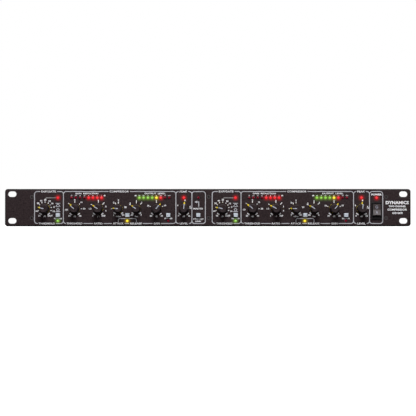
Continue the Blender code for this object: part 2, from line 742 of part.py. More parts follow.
def rear_panel():
    wall = (behind(CHASSIS_DEPTH - REAR_SHEET), behind(CHASSIS_DEPTH))
    through = (wall[0] - 2 * MM, wall[1] + 2 * MM)
    bm = bmesh.new()
    add_box(bm, about(0, CHASSIS_WIDTH / 2), wall, (0, TRAY_HEIGHT))
    plate = from_bmesh("rear_panel", bm, BLACK_PAINT)
    bm = bmesh.new()
    for x in XLR_XS.values():
        add_rod(bm, x, REAR_Z, XLR_BARREL + 0.5 * MM, through, KNOB_SIDES)
    for x in JACK_XS.values():
        add_rod(bm, x, REAR_Z, JACK_BUSH + 0.4 * MM, through, SHAFT_SIDES)
    add_box(bm, about(INLET_X, INLET_BODY[0] / 2 + GAP), through,
            about(REAR_Z, INLET_BODY[1] / 2 + GAP))
    boolean(plate, "DIFFERENCE", helper("rear_cutouts", bm))


# Rear connectors


def flange(name, x, size, corner):
    outside = (behind(CHASSIS_DEPTH + GAP), behind(CHASSIS_DEPTH + REAR_FLANGE))
    points = list(rounded_rectangle(x, REAR_Z, size[0] / 2, size[1] / 2, corner, 2))
    return outline(name, points, outside, BLACK_PLASTIC)


def inwards(near, far):
    """A pair on Y, each so far in from the rear flange's face."""
    face = behind(CHASSIS_DEPTH + REAR_FLANGE)
    return (face - far, face - near)


def xlr_socket(name, x):
    """A three-pole panel connector: an input has a core with sockets, an output three pins."""
    kind = name.split("_")[0]
    socket = flange(name, x, XLR_FLANGE, 3 * MM)
    bm = bmesh.new()
    add_rod(bm, x, REAR_Z, XLR_BARREL, inwards(1 * MM, XLR_CAVITY_DEPTH + 9 * MM), KNOB_SIDES)
    boolean(socket, "UNION", helper(f"barrel_{name}", bm))
    bm = bmesh.new()
    add_rod(bm, x, REAR_Z, XLR_CAVITY[kind], inwards(-1 * MM, XLR_CAVITY_DEPTH), KNOB_SIDES)
    boolean(socket, "DIFFERENCE", helper(f"cavity_{name}", bm))
    poles = [(x + POLE_CIRCLE * math.cos(a), REAR_Z + POLE_CIRCLE * math.sin(a))
             for a in POLE_ANGLES]
    seat = XLR_CAVITY_DEPTH + 1 * MM
    bm = bmesh.new()
    if kind == "input":
        add_rod(bm, x, REAR_Z, XLR_CORE, inwards(6 * MM, seat), KNOB_SIDES)
        boolean(socket, "UNION", helper(f"core_{name}", bm))
        bm = bmesh.new()
        for px, pz in poles:
            add_rod(bm, px, pz, SOCKET_SIZE, inwards(5 * MM, seat - 2 * MM), 6)
        boolean(socket, "DIFFERENCE", helper(f"sockets_{name}", bm))
    else:
        for px, pz in poles:
            add_rod(bm, px, pz, PIN_SIZE, inwards(5.5 * MM, seat), 6)
        boolean(socket, "UNION", helper(f"pins_{name}", bm))


def sidechain_jack(name, x):
    """A quarter-inch socket: a nut outside, and a bush and a case inside."""
    bm = bmesh.new()
    add_rod(bm, x, REAR_Z, JACK_NUT, inwards(0, REAR_FLANGE - GAP), 6)
    jack = from_bmesh(name, bm, BLACK_PLASTIC)
    bm = bmesh.new()
    add_rod(bm, x, REAR_Z, JACK_BUSH, inwards(0.6 * MM, 7 * MM), SHAFT_SIDES)
    boolean(jack, "UNION", helper(f"bush_{name}", bm))
    bm = bmesh.new()
    add_box(bm, about(x, JACK_CASE), inwards(6 * MM, 28 * MM), about(REAR_Z, JACK_CASE))
    boolean(jack, "UNION", helper(f"case_{name}", bm))
    bm = bmesh.new()
    add_rod(bm, x, REAR_Z, JACK_BORE, inwards(-1 * MM, 25 * MM), SHAFT_SIDES)
    boolean(jack, "DIFFERENCE", helper(f"bore_{name}", bm))


def mains_inlet():
    """A three-blade appliance inlet."""
    inlet = flange("mains_inlet", INLET_X, INLET_FLANGE, 2 * MM)
    bm = bmesh.new()
    add_box(bm, about(INLET_X, INLET_BODY[0] / 2), inwards(1 * MM, 22 * MM),
            about(REAR_Z, INLET_BODY[1] / 2))
    boolean(inlet, "UNION", helper("inlet_case", bm))
    bm = bmesh.new()
    add_box(bm, about(INLET_X, INLET_CAVITY[0] / 2), inwards(-1 * MM, 19 * MM),
            about(REAR_Z, INLET_CAVITY[1] / 2))
    boolean(inlet, "DIFFERENCE", helper("inlet_cavity", bm))
    bm = bmesh.new()
    for x, z in BLADES:
        add_box(bm, about(INLET_X + x, BLADE_HALF[0]), inwards(6.5 * MM, 26 * MM),
                about(REAR_Z + z, BLADE_HALF[1]))
    boolean(inlet, "UNION", helper("inlet_blades", bm))


# Power supply and fasteners


def toroidal_transformer():
    """The taped windings, a ring with rounded edges."""
    inner, outer = TOROID_RADII
    soft, low, high = TOROID_ROUND, SHEET + GAP, TOROID_TOP
    profile = [(inner, high - soft), (inner + soft, high), (outer - soft, high),
               (outer, high - soft), (outer, low + soft), (outer - soft, low),
               (inner + soft, low), (inner, low + soft), (inner, high - soft)]
    toroid = turned("toroidal_transformer", profile, 24, COPPER_TAPE)
    toroid.location = (TOROID_AT[0], behind(TOROID_AT[1]), 0)


def transformer_bolt():
    """The bolt through the transformer, with its dished washer and nut in one piece."""
    seat = TOROID_TOP + GAP
    washer_top = seat + WASHER[1]
    nut_top = washer_top + NUT[1]
    radius, top = BOLT
    profile = [(0, top), (radius, top), (radius, nut_top), (NUT[0], nut_top),
               (NUT[0], washer_top), (WASHER[0], washer_top), (WASHER[0], seat),
               (radius, seat), (radius, SHEET + GAP), (0, SHEET + GAP)]
    bolt = turned("transformer_bolt", profile, SHAFT_SIDES, STEEL)
    bolt.location = (TOROID_AT[0], behind(TOROID_AT[1]), 0)


def heatsink():
    """A back plate with upright fins, standing on the main board."""
    x, y = HEATSINK_AT[0], behind(HEATSINK_AT[1])
    thick, reach = FIN
    right = x + (FINS - 1) * FIN_PITCH + thick
    points = [(x, y), (x, y + HEATSINK_BACK), (right, y + HEATSINK_BACK), (right, y)]
    for i in reversed(range(FINS)):
        left = x + i * FIN_PITCH
        fin = [(left + thick, y - reach), (left, y - reach)]
        root = [(left + thick, y)] if i < FINS - 1 else []
        foot = [(left, y)] if i else []
        points += [*root, *fin, *foot]
    bm = bmesh.new()
    low = MAIN_BOARD_TOP + GAP
    face = bm.faces.new([bm.verts.new((px, py, low)) for px, py in points])
    raised = bmesh.ops.extrude_face_region(bm, geom=[face])["geom"]
    moved = [v for v in raised if isinstance(v, bmesh.types.BMVert)]
    bmesh.ops.translate(bm, verts=moved, vec=(0, 0, HEATSINK_HEIGHT))
    bmesh.ops.recalc_face_normals(bm, faces=bm.faces)
    from_bmesh("heatsink", bm, ALUMINIUM)


def panel_screws():
    """Countersunk screws with a socket, from the panel into the chassis tabs."""
    face, edge, root = HEAD_DEPTHS
    socket, floor = SCREW_SOCKET
    end = -PANEL_THICK - SCREW_REACH
    profile = [(0, -floor), (socket, -floor), (socket, -face), (SCREW_HEAD, -face),
               (SCREW_HEAD, -edge), (SCREW_SHANK, -root), (SCREW_SHANK, end), (0, end)]
    for i, (x, z) in enumerate(screw_places()):
        screw = turned(f"panel_screw_{i + 1}", profile, SCREW_SIDES, BLACK_STEEL)
        facing_out(screw, x, z)


def build():
    front_panel()
    knobs_and_shafts()
    buttons()
    power_switch_body()
    power_rocker()
    for channel in CHANNEL_X:
        control_board(channel)
    main_board()
    chassis_tray()
    top_cover()
    rear_panel()
    for name, x in XLR_XS.items():
        xlr_socket(name, x)
    for name, x in JACK_XS.items():
        sidechain_jack(name, x)
    mains_inlet()
    toroidal_transformer()
    transformer_bolt()
    heatsink()
    panel_screws()


build()
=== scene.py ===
"""Looks of the two-channel rack compressor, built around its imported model.

Lengths are in metres. On the front panel, u runs right and v up from the panel's middle, and h
stands out from its face towards the front.
"""

import json
import math

import bmesh
import bpy
from mathutils import Matrix, Vector


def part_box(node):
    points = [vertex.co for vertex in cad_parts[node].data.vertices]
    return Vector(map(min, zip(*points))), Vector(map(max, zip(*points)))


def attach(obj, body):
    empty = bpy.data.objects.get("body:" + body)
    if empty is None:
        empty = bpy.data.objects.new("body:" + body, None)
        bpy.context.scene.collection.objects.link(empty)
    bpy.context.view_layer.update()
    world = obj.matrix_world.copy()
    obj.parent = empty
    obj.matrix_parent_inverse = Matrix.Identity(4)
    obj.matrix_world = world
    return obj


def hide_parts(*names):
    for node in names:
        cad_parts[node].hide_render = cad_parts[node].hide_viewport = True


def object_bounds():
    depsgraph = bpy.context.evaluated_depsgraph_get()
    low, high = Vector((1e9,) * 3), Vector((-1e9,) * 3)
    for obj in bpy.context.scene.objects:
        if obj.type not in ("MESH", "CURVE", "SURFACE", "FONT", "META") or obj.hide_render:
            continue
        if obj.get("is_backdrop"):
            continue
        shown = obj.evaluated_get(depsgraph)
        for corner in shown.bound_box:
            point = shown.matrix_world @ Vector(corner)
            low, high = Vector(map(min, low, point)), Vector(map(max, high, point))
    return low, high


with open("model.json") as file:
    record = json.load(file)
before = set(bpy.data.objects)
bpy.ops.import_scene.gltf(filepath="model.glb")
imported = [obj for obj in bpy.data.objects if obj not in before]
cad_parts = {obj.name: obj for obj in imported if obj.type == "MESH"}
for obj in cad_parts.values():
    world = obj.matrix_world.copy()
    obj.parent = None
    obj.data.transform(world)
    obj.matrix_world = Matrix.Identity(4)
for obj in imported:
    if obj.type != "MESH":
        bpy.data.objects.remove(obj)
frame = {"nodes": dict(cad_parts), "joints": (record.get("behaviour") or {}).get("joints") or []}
CAD_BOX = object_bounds()

MM = 0.001
CHASSIS = "chassis"

# The front panel's place, from the frame
PANEL_LOW, PANEL_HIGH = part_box("front_panel")
FACE_Y = PANEL_LOW.y
PANEL_THICK = PANEL_HIGH.y - PANEL_LOW.y
PANEL_HALF = ((PANEL_HIGH.x - PANEL_LOW.x) / 2, (PANEL_HIGH.z - PANEL_LOW.z) / 2)
PANEL_DROP = 0.2 * MM  # the slots' and controls' middle is this far over the panel's
MID_Z = (PANEL_HIGH.z + PANEL_LOW.z) / 2 + PANEL_DROP
REAR_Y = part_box("rear_panel")[1].y
FLANGE_OUT = CAD_BOX[1].y - REAR_Y

# Each channel repeats one layout, measured in millimetres from its left edge
CHANNEL_U = {"a": -206.3, "b": 4.9}
METER_V = 11.6
LOW_LED_V = -15.9
LED_PITCH = 5.08
REDUCTION_FIRST = 44.3
OUTPUT_FIRST = 124.9
LINK_U = CHANNEL_U["a"] + 195.0
POWER_U = 200.7
SMALL_KNOB = 0.88


def centre(node):
    low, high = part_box(node)
    return (low + high) / 2


def half_size(node):
    low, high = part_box(node)
    return (high.x - low.x) / 2, (high.z - low.z) / 2


def panel_place(node):
    """(u, v) of a node's middle."""
    at = centre(node)
    return at.x, at.z - MID_Z


def behind(depth):
    """The h of a place behind the panel's back."""
    return -PANEL_THICK - depth


def behind_y(depth):
    return FACE_Y - behind(depth)


KNOB_V = centre("shaft_gain_a").z - MID_Z


# Meshes

EDGE_ANGLE = 40


def smoothed(mesh, sharp=35):
    mesh.shade_smooth()
    mesh.set_sharp_from_angle(angle=math.radians(sharp))
    return mesh


def filled(bm, name):
    """A mesh with the bmesh's shape, which is then freed."""
    mesh = bpy.data.meshes.new(name)
    bm.to_mesh(mesh)
    bm.free()
    return mesh


def finished(bm, name, sharp=35):
    """The bmesh as a smooth-shaded mesh with its hard edges kept."""
    bmesh.ops.recalc_face_normals(bm, faces=bm.faces)
    return smoothed(filled(bm, name), sharp)


def linked(name, data):
    obj = bpy.data.objects.new(name, data)
    bpy.context.scene.collection.objects.link(obj)
    return obj


def evaluated_mesh(obj):
    """The object's shape with its modifiers, as a mesh, after which the object is removed."""
    bpy.context.view_layer.update()
    graph = bpy.context.evaluated_depsgraph_get()
    mesh = bpy.data.meshes.new_from_object(obj.evaluated_get(graph), depsgraph=graph)
    bpy.data.objects.remove(obj)
    return mesh


def combined(mesh, *steps):
    """The mesh after Booleans: steps are (operation, bmesh) pairs."""
    base = linked("base", mesh)
    tools = []
    for operation, bm in steps:
        bmesh.ops.recalc_face_normals(bm, faces=bm.faces)
        tools.append(linked("tool", filled(bm, "tool")))
        modifier = base.modifiers.new("boolean", "BOOLEAN")
        modifier.operation = operation
        modifier.object = tools[-1]
    made = evaluated_mesh(base)
    for tool in tools:
        bpy.data.objects.remove(tool)
    return smoothed(made)


def bevelled(mesh, width, segments=2):
    base = linked("base", mesh)
    add_bevel(base, width, segments)
    return smoothed(evaluated_mesh(base), EDGE_ANGLE)


def add_bevel(obj, width, segments=2):
    modifier = obj.modifiers.new("soft_edges", "BEVEL")
    modifier.width = width
    modifier.segments = segments
    modifier.limit_method = "ANGLE"
    modifier.angle_limit = math.radians(EDGE_ANGLE)


def turned(profile, sides=48, flutes=0, flute_depth=0.0):
    """The (radius, height) profile turned about Z, from its top middle down and round.

    A profile point with a third value is fluted by that share of flute_depth.
    """
    bm = bmesh.new()
    rings = []
    for radius, height, *share in profile:
        if radius == 0:
            rings.append([bm.verts.new((0, 0, height))] * sides)
            continue
        cut = flute_depth * (share[0] if share else 0)
        ring = []
        for i in range(sides):
            turn = 2 * math.pi * i / sides
            r = radius - cut * (0.5 - 0.5 * math.cos(flutes * turn))
            ring.append(bm.verts.new((r * math.cos(turn), r * math.sin(turn), height)))
        rings.append(ring)
    for upper, lower in zip(rings, rings[1:]):
        for i in range(sides):
            j = (i + 1) % sides
            corners = dict.fromkeys((upper[i], lower[i], lower[j], upper[j]))
            bm.faces.new(tuple(corners))
    return bm


def lathe(profile, sides=48, lift=0.0):
    """The (radius, height) profile in millimetres, turned, with its heights from lift metres."""
    return turned([(r * MM, lift + h * MM) for r, h in profile], sides)


def block(u, v, h):
    """A new bmesh with one block between the pair on each axis."""
    bm = bmesh.new()
    box(bm, u, v, h)
    return bm


def new_rod(radius, h, sides):
    bm = bmesh.new()
    rod(bm, 0, 0, radius, h, sides)
    return bm


def repeated(single, places):
    """One bmesh with a copy of the mesh at each (u, v) or (u, v, h)."""
    bm = bmesh.new()
    for at in places:
        before = len(bm.verts)
        bm.from_mesh(single)
        bm.verts.ensure_lookup_table()
        bmesh.ops.translate(bm, verts=bm.verts[before:], vec=Vector((*at, 0)[:3]))
    return bm


def box(bm, u, v, h):
    """A block between the (low, high) pair on each axis."""
    low, high = (Vector(ends) for ends in zip(u, v, h))
    place = Matrix.Translation((low + high) / 2) @ Matrix.Diagonal((*(high - low), 1))
    bmesh.ops.create_cube(bm, size=1, matrix=place)


def rod(bm, u, v, radius, h, sides=32, turn=0.0):
    place = Matrix.Translation((u, v, sum(h) / 2)) @ Matrix.Rotation(turn, 4, "Z")
    bmesh.ops.create_cone(bm, cap_ends=True, segments=sides, radius1=radius, radius2=radius,
                          depth=h[1] - h[0], matrix=place)


def about(middle, half):
    return (middle - half, middle + half)


def circle(u, v, radius, sides):
    for i in range(sides):
        turn = 2 * math.pi * i / sides
        yield u + radius * math.cos(turn), v + radius * math.sin(turn)


def rounded(u, v, half_u, half_v, radius, steps=6):
    """The outline of a rectangle with round corners."""
    for i, (su, sv) in enumerate(((1, 1), (-1, 1), (-1, -1), (1, -1))):
        for k in range(steps + 1):
            turn = (i + k / steps) * math.pi / 2
            yield (u + su * (half_u - radius) + radius * math.cos(turn),
                   v + sv * (half_v - radius) + radius * math.sin(turn))


def plate(outlines, h):
    """A plate between the pair h. The first outline is its edge and the others are holes."""
    curve = bpy.data.curves.new("plate", "CURVE")
    curve.dimensions = "2D"
    curve.fill_mode = "BOTH"
    curve.extrude = (h[1] - h[0]) / 2
    for outline in outlines:
        points = list(outline)
        spline = curve.splines.new("POLY")
        spline.points.add(len(points) - 1)
        for point, (u, v) in zip(spline.points, points):
            point.co = (u, v, 0, 1)
        spline.use_cyclic_u = True
    mesh = evaluated_mesh(linked("plate", curve))
    bm = bmesh.new()
    bm.from_mesh(mesh)
    bmesh.ops.remove_doubles(bm, verts=bm.verts, dist=0.000001)
    bmesh.ops.translate(bm, verts=bm.verts, vec=(0, 0, sum(h) / 2))
    return bm


# Pieces


def on_panel(u, v, h=0.0, clockwise=0.0):
    """A place on the panel's face, with local Z pointing to the front."""
    return (Matrix.Translation((u, FACE_Y - h, MID_Z + v)) @ Matrix.Rotation(clockwise, 4, "Y")
            @ Matrix.Rotation(math.pi / 2, 4, "X"))


def on_rear(x, z, h=0.0):
    """A place on the rear panel, with local X to the left and Z pointing backwards."""
    return (Matrix.Translation((x, REAR_Y + h, z)) @ Matrix.Rotation(math.pi, 4, "Z")
            @ Matrix.Rotation(math.pi / 2, 4, "X"))


def piece(name, mesh, material, body, slot, place=None, replaces=()):
    """A visible piece at a matrix, at (u, v, h, clockwise) on the panel, or in world places."""
    obj = linked(name, mesh)
    if not mesh.materials:
        mesh.materials.append(material)
    if place is not None:
        obj.matrix_world = place if isinstance(place, Matrix) else on_panel(*place)
    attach(obj, body)
    if replaces:
        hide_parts(*replaces)
    return obj


def fixed(name, mesh, material, slot, place=None, replaces=()):
    """A piece that rides on the chassis."""
    return piece(name, mesh, material, CHASSIS, slot, place, replaces)


# Materials


def principled(name, colour, roughness, metallic=0.0, specular=0.5):
    made = bpy.data.materials.new(name)
    made.use_nodes = True
    shader = made.node_tree.nodes["Principled BSDF"]
    shader.inputs["Base Color"].default_value = (*colour, 1)
    shader.inputs["Roughness"].default_value = roughness
    shader.inputs["Metallic"].default_value = metallic
    shader.inputs["Specular IOR Level"].default_value = specular
    return made, shader


def node(material, kind, **values):
    """A node with its properties, and inputs given as in_NAME or by number as in_0."""
    made = material.node_tree.nodes.new(f"ShaderNode{kind}")
    for key, value in values.items():
        if key.startswith("in_"):
            socket = key[3:]
            made.inputs[int(socket) if socket.isdigit() else socket].default_value = value
        else:
            setattr(made, key, value)
    return made


def wire(material, source, target):
    material.node_tree.links.new(source, target)


def noise(material, size, detail=3.0, roughness=0.55):
    """Noise whose grains are about size across, fixed to the piece."""
    place = node(material, "TexCoord")
    made = node(material, "TexNoise", in_Scale=1 / size, in_Detail=detail,
                in_Roughness=roughness)
    wire(material, place.outputs["Object"], made.inputs["Vector"])
    return made.outputs["Fac"]


def spread(material, value, low, high, centre_low=0.3, centre_high=0.7):
    """The noise value stretched to between low and high."""
    made = node(material, "MapRange", in_1=centre_low, in_2=centre_high, in_3=low,
                in_4=high)
    wire(material, value, made.inputs[0])
    return made.outputs[0]


def vary_colour(material, shader, value, colours):
    """Base colour between two colours as the noise value goes from low to high."""
    ramp = node(material, "ValToRGB")
    ramp.color_ramp.elements[0].position = 0.3
    ramp.color_ramp.elements[1].position = 0.7
    for element, colour in zip(ramp.color_ramp.elements, colours):
        element.color = (*colour, 1)
    wire(material, value, ramp.inputs["Fac"])
    wire(material, ramp.outputs["Color"], shader.inputs["Base Color"])


def bump(material, shader, value, depth, strength=1.0):
    made = node(material, "Bump", in_Strength=strength, in_Distance=depth)
    wire(material, value, made.inputs["Height"])
    wire(material, made.outputs["Normal"], shader.inputs["Normal"])


def grainy(name, colours, roughness, grain, depth, mottle, specular=0.5):
    """A surface with fine bumps of size grain, and colour that varies over patches of mottle.

    grain, depth and mottle are in millimetres.
    """
    grain, depth, mottle = grain * MM, depth * MM, mottle * MM
    material, shader = principled(name, colours[0], sum(roughness) / 2, specular=specular)
    fine = noise(material, grain)
    vary_colour(material, shader, noise(material, mottle), colours)
    wire(material, spread(material, noise(material, grain * 5), *roughness),
         shader.inputs["Roughness"])
    bump(material, shader, fine, depth)
    return material


def brushed(name, colours, roughness, stretch, grain, metallic=1.0):
    """Metal with fine scratches along one axis: stretch scales the noise on each axis.

    grain is in millimetres.
    """
    material, shader = principled(name, colours[0], sum(roughness) / 2, metallic)
    place = node(material, "TexCoord")
    scaled = node(material, "Mapping", in_Scale=stretch)
    scratches = node(material, "TexNoise", in_Scale=1 / (grain * MM),
                     in_Detail=4.0)
    wire(material, place.outputs["Object"], scaled.inputs["Vector"])
    wire(material, scaled.outputs["Vector"], scratches.inputs["Vector"])
    vary_colour(material, shader, scratches.outputs["Fac"], colours)
    wire(material, spread(material, scratches.outputs["Fac"], *roughness),
         shader.inputs["Roughness"])
    bump(material, shader, scratches.outputs["Fac"], 0.004 * MM)
    return material


def lens(name, body_colour, glow_colour=None, rim=0.0, heart=0.0):
    """Diffused lamp plastic. A lit one glows from its middle, where the mesh's heart is 1."""
    material, shader = principled(name, body_colour, 0.28, specular=0.5 if glow_colour else 0.2)
    haze = noise(material, 0.5 * MM)
    dark = tuple(0.8 * c for c in body_colour)
    vary_colour(material, shader, haze, (dark, body_colour))
    if glow_colour:
        shader.inputs["Coat Weight"].default_value = 0.3
        shader.inputs["Emission Color"].default_value = (*glow_colour, 1)
        middle = node(material, "Attribute", attribute_name="heart")
        glow = node(material, "Math", operation="MULTIPLY_ADD", in_1=heart, in_2=rim)
        wire(material, middle.outputs["Fac"], glow.inputs[0])
        wire(material, glow.outputs[0], shader.inputs["Emission Strength"])
    return material


def panel_paint(name):
    """Brown-black textured paint. Only its name differs between the panel and its lamp films."""
    return grainy(name, ((0.02, 0.0125, 0.014), (0.043, 0.029, 0.031)), (0.55, 0.7),
                  0.45, 0.05, 2.0, specular=0.12)


def spill_paint(name):
    """The panel's paint, with the lamps' light on it painted in as emission, as the mesh's glow
    says.
    """
    material = panel_paint(name)
    shader = material.node_tree.nodes["Principled BSDF"]
    shader.inputs["Emission Strength"].default_value = 1
    glow = node(material, "Attribute", attribute_name="glow")
    wire(material, glow.outputs["Color"], shader.inputs["Emission Color"])
    return material


PANEL_PAINT = panel_paint("panel_paint")
# Painted shade: a darker copy of the panel paint for the rounded rim, standing in for the shade the
# rim falls into.
RIM_SHADE_PAINT = grainy("panel_rim_painted_shade", ((0.004, 0.003, 0.0034), (0.008, 0.006, 0.0064)),
                   (0.6, 0.75), 0.45, 0.03, 2, specular=0.06)
CASE_PAINT = grainy("case_paint", ((0.018, 0.018, 0.019), (0.024, 0.024, 0.025)),
                    (0.55, 0.64), 0.5, 0.05, 5, specular=0.3)
KNOB_PLASTIC = grainy("knob_plastic", ((0.0255, 0.017, 0.0188), (0.0368, 0.026, 0.0285)),
                      (0.45, 0.6), 0.3, 0.02, 1.5, specular=0.12)
# Painted shade: a darker copy of the knob plastic for the knob's flank, standing in for the shade
# on the flank.
SKIRT_SHADE_PLASTIC = grainy("knob_skirt_painted_shade", ((0.016, 0.011, 0.012), (0.024, 0.017, 0.0185)),
                       (0.55, 0.7), 0.3, 0.02, 1.5, specular=0.08)
SWITCH_PLASTIC = grainy("switch_plastic", ((0.009, 0.008, 0.0085), (0.014, 0.0125, 0.013)),
                        (0.35, 0.5), 0.25, 0.012, 2, specular=0.25)
ROCKER_PLASTIC = grainy("rocker_plastic", ((0.042, 0.031, 0.032), (0.056, 0.043, 0.044)),
                        (0.42, 0.5), 0.25, 0.01, 2, specular=0.4)
BUTTON_PLASTIC = grainy("button_plastic", ((0.58, 0.63, 0.7), (0.7, 0.75, 0.82)),
                        (0.3, 0.45), 0.3, 0.01, 2)
POINTER_YELLOW = grainy("pointer_yellow", ((0.9, 0.68, 0.008), (1.0, 0.8, 0.015)),
                        (0.35, 0.5), 0.3, 0.01, 2)
PRINT, PRINT_BRIGHT, PRINT_DIM = (
    grainy(name, colours, (0.5, 0.7), 0.25, 0.01, 1, specular=0.3)
    for name, colours in (("screen_print", ((0.44, 0.44, 0.475), (0.55, 0.55, 0.595))),
                          ("lettering_print", ((0.85, 0.85, 0.89), (0.97, 0.97, 1.0))),
                          ("thin_line_print", ((0.2, 0.19, 0.19), (0.3, 0.29, 0.29)))))
LINE_WHITE = grainy("indicator_white", ((0.5, 0.53, 0.62), (0.6, 0.63, 0.72)),
                    (0.4, 0.55), 0.25, 0.01, 1)
SWITCH_MARK = grainy("switch_mark", ((0.34, 0.34, 0.42), (0.42, 0.42, 0.52)),
                     (0.4, 0.55), 0.25, 0.01, 1)
CONNECTOR_PLASTIC = grainy("connector_plastic", ((0.014, 0.014, 0.015), (0.022, 0.022, 0.023)),
                           (0.35, 0.5), 0.4, 0.02, 3)
SOLDER_MASK = grainy("solder_mask", ((0.012, 0.09, 0.03), (0.02, 0.14, 0.05)),
                     (0.2, 0.35), 0.5, 0.01, 5)
WINDING_TAPE = grainy("winding_tape", ((0.62, 0.45, 0.05), (0.78, 0.62, 0.1)),
                      (0.25, 0.45), 2, 0.1, 9)
CAN_SLEEVE = grainy("can_sleeve", ((0.012, 0.016, 0.05), (0.02, 0.026, 0.075)),
                    (0.2, 0.35), 0.4, 0.01, 4)
STEEL = brushed("steel", ((0.42, 0.42, 0.43), (0.58, 0.58, 0.59)), (0.25, 0.42),
                (1, 1, 0.08), 0.4)
BLACK_STEEL = brushed("black_steel", ((0.018, 0.018, 0.018), (0.035, 0.034, 0.034)),
                      (0.3, 0.5), (1, 1, 0.2), 0.4, metallic=0.6)
SCREW_STEEL = brushed("dark_screw_steel", ((0.045, 0.035, 0.037), (0.072, 0.059, 0.062)),
                      (0.55, 0.7), (1, 1, 0.2), 0.4, metallic=0.0)
ALUMINIUM = brushed("aluminium", ((0.68, 0.68, 0.69), (0.82, 0.82, 0.83)), (0.3, 0.45),
                    (1, 1, 0.05), 0.5)
CONTACT_METAL = brushed("contact_metal", ((0.62, 0.55, 0.38), (0.75, 0.68, 0.5)), (0.2, 0.3),
                        (1, 0.1, 1), 0.4)

LENSES = {
    "red_lit": lens("red_lens_lit", (0.3, 0.006, 0.008), (1.0, 0.02, 0.03), 0.55, 0.35),
    "green_lit": lens("green_lens_lit", (0.08, 0.2, 0.02), (0.45, 0.95, 0.12), 0.3, 0.35),
    "yellow_lit": lens("yellow_lens_lit", (0.4, 0.3, 0.01), (1.0, 0.78, 0.04), 0.62, 0.45),
    "red_off": lens("red_lens_off", (0.22, 0.002, 0.018)),
}
LAMP_SLOTS = {"red_lit": "led_red", "red_off": "led_red", "green_lit": "led_green",
              "yellow_lit": "led_yellow"}
LIT_PANEL_PAINT = spill_paint("lit_panel_paint")
# Painted light: the colour each lit lamp paints as emission onto the panel round it
LAMP_LIGHT = {"red_lit": (0.62, 0.0075, 0.0075), "green_lit": (0.19, 0.38, 0.03),
              "yellow_lit": (0.5, 0.35, 0.005)}


# Front panel

PANEL_EDGE = (2.1 * MM, 1.3 * MM)
# The outer width of the rounded rim that takes the painted shade
RIM_SHADE_WIDTH = 1.2 * MM
SHAFT_HOLE = 4.6 * MM
LAMP_HOLE = 1.62 * MM
LAMP_NOSE = 1.88
SLOT_U, SLOT_V = 232.55 * MM, 15.875 * MM


def names_after(prefix):
    return sorted(name[len(prefix):] for name in frame["nodes"] if name.startswith(prefix))


def knob_size(name):
    return SMALL_KNOB if name.startswith(("attack", "release")) else 1.0


def lamp_groups():
    """(name, kind, [(u, v), ...]) of each group of lamps, in millimetres."""
    for channel, start in CHANNEL_U.items():
        def row(first, indices):
            return [(start + first + i * LED_PITCH, METER_V) for i in indices]
        yield f"reduction_lamps_off_{channel}", "red_off", row(REDUCTION_FIRST, range(4))
        yield f"reduction_lamps_lit_{channel}", "red_lit", row(REDUCTION_FIRST, range(4, 8))
        yield f"output_lamps_green_{channel}", "green_lit", row(OUTPUT_FIRST, range(4))
        yield f"output_lamp_yellow_{channel}", "yellow_lit", row(OUTPUT_FIRST, (4,))
        yield f"output_lamp_red_{channel}", "red_lit", row(OUTPUT_FIRST, (5,))
        yield f"output_lamps_off_{channel}", "red_off", row(OUTPUT_FIRST, (6, 7))
        yield f"gate_closed_lamp_{channel}", "red_lit", [(start + 28.0, METER_V)]
        yield f"peak_lamp_{channel}", "red_lit", [(start + 177.8, METER_V)]
        yield f"gate_open_lamp_{channel}", "green_lit", [(start + 28.0, LOW_LED_V)]
        yield f"auto_lamp_{channel}", "yellow_lit", [(start + 110.5, LOW_LED_V)]
        yield f"bypass_lamp_{channel}", "red_off", [(start + 159.3, LOW_LED_V)]
    yield "link_lamp", "red_off", [(LINK_U, METER_V)]
    yield "power_lamp", "red_lit", [(POWER_U, METER_V)]


def ring_of(bm, outline, h):
    return [bm.verts.new((u, v, h)) for u, v in outline]


def rounded_slab(v, half_u, half_v, radius, thick, edge, steps=4):
    """A slab behind h = 0 whose front edge is rounded over the (inwards, back) size edge."""
    bm = bmesh.new()
    rings = [ring_of(bm, rounded(0, v, half_u, half_v, radius, 8), -thick)]
    for k in range(steps + 1):
        turn = k / steps * math.pi / 2
        inwards = edge[0] * (1 - math.cos(turn))
        back = edge[1] * (1 - math.sin(turn))
        rings.append(ring_of(bm, rounded(0, v, half_u - inwards, half_v - inwards,
                                         radius - inwards, 8), -back))
    for lower, upper in zip(rings, rings[1:]):
        for i in range(len(lower)):
            j = (i + 1) % len(lower)
            bm.faces.new((lower[i], lower[j], upper[j], upper[i]))
    bm.faces.new(rings[0][::-1])
    bm.faces.new(rings[-1])
    return bm


def prism(bm, outline, h):
    """A closed prism on the outline between the pair h."""
    low, high = (ring_of(bm, outline, level) for level in h)
    for i in range(len(low)):
        j = (i + 1) % len(low)
        bm.faces.new((low[i], low[j], high[j], high[i]))
    bm.faces.new(low[::-1])
    bm.faces.new(high)


def panel_openings():
    """The outline of each hole that goes straight through the panel."""
    for su in (-1, 1):
        for sv in (-1, 1):
            yield list(rounded(su * SLOT_U, sv * SLOT_V, 5 * MM, 3.3 * MM, 3.29 * MM, 8))
    for name in names_after("knob_"):
        yield list(circle(centre(f"shaft_{name}").x, KNOB_V, SHAFT_HOLE, 32))
    for name in names_after("button_"):
        yield list(rounded(*panel_place(f"button_{name}"), 2.75 * MM, 2.65 * MM, 0.4 * MM, 3))
    for _, _, places in lamp_groups():
        for u, v in places:
            yield list(circle(u * MM, v * MM, LAMP_HOLE, 24))
    yield list(rounded(*panel_place("power_switch_body"), 5.6 * MM, 9.0 * MM, 0.4 * MM, 2))


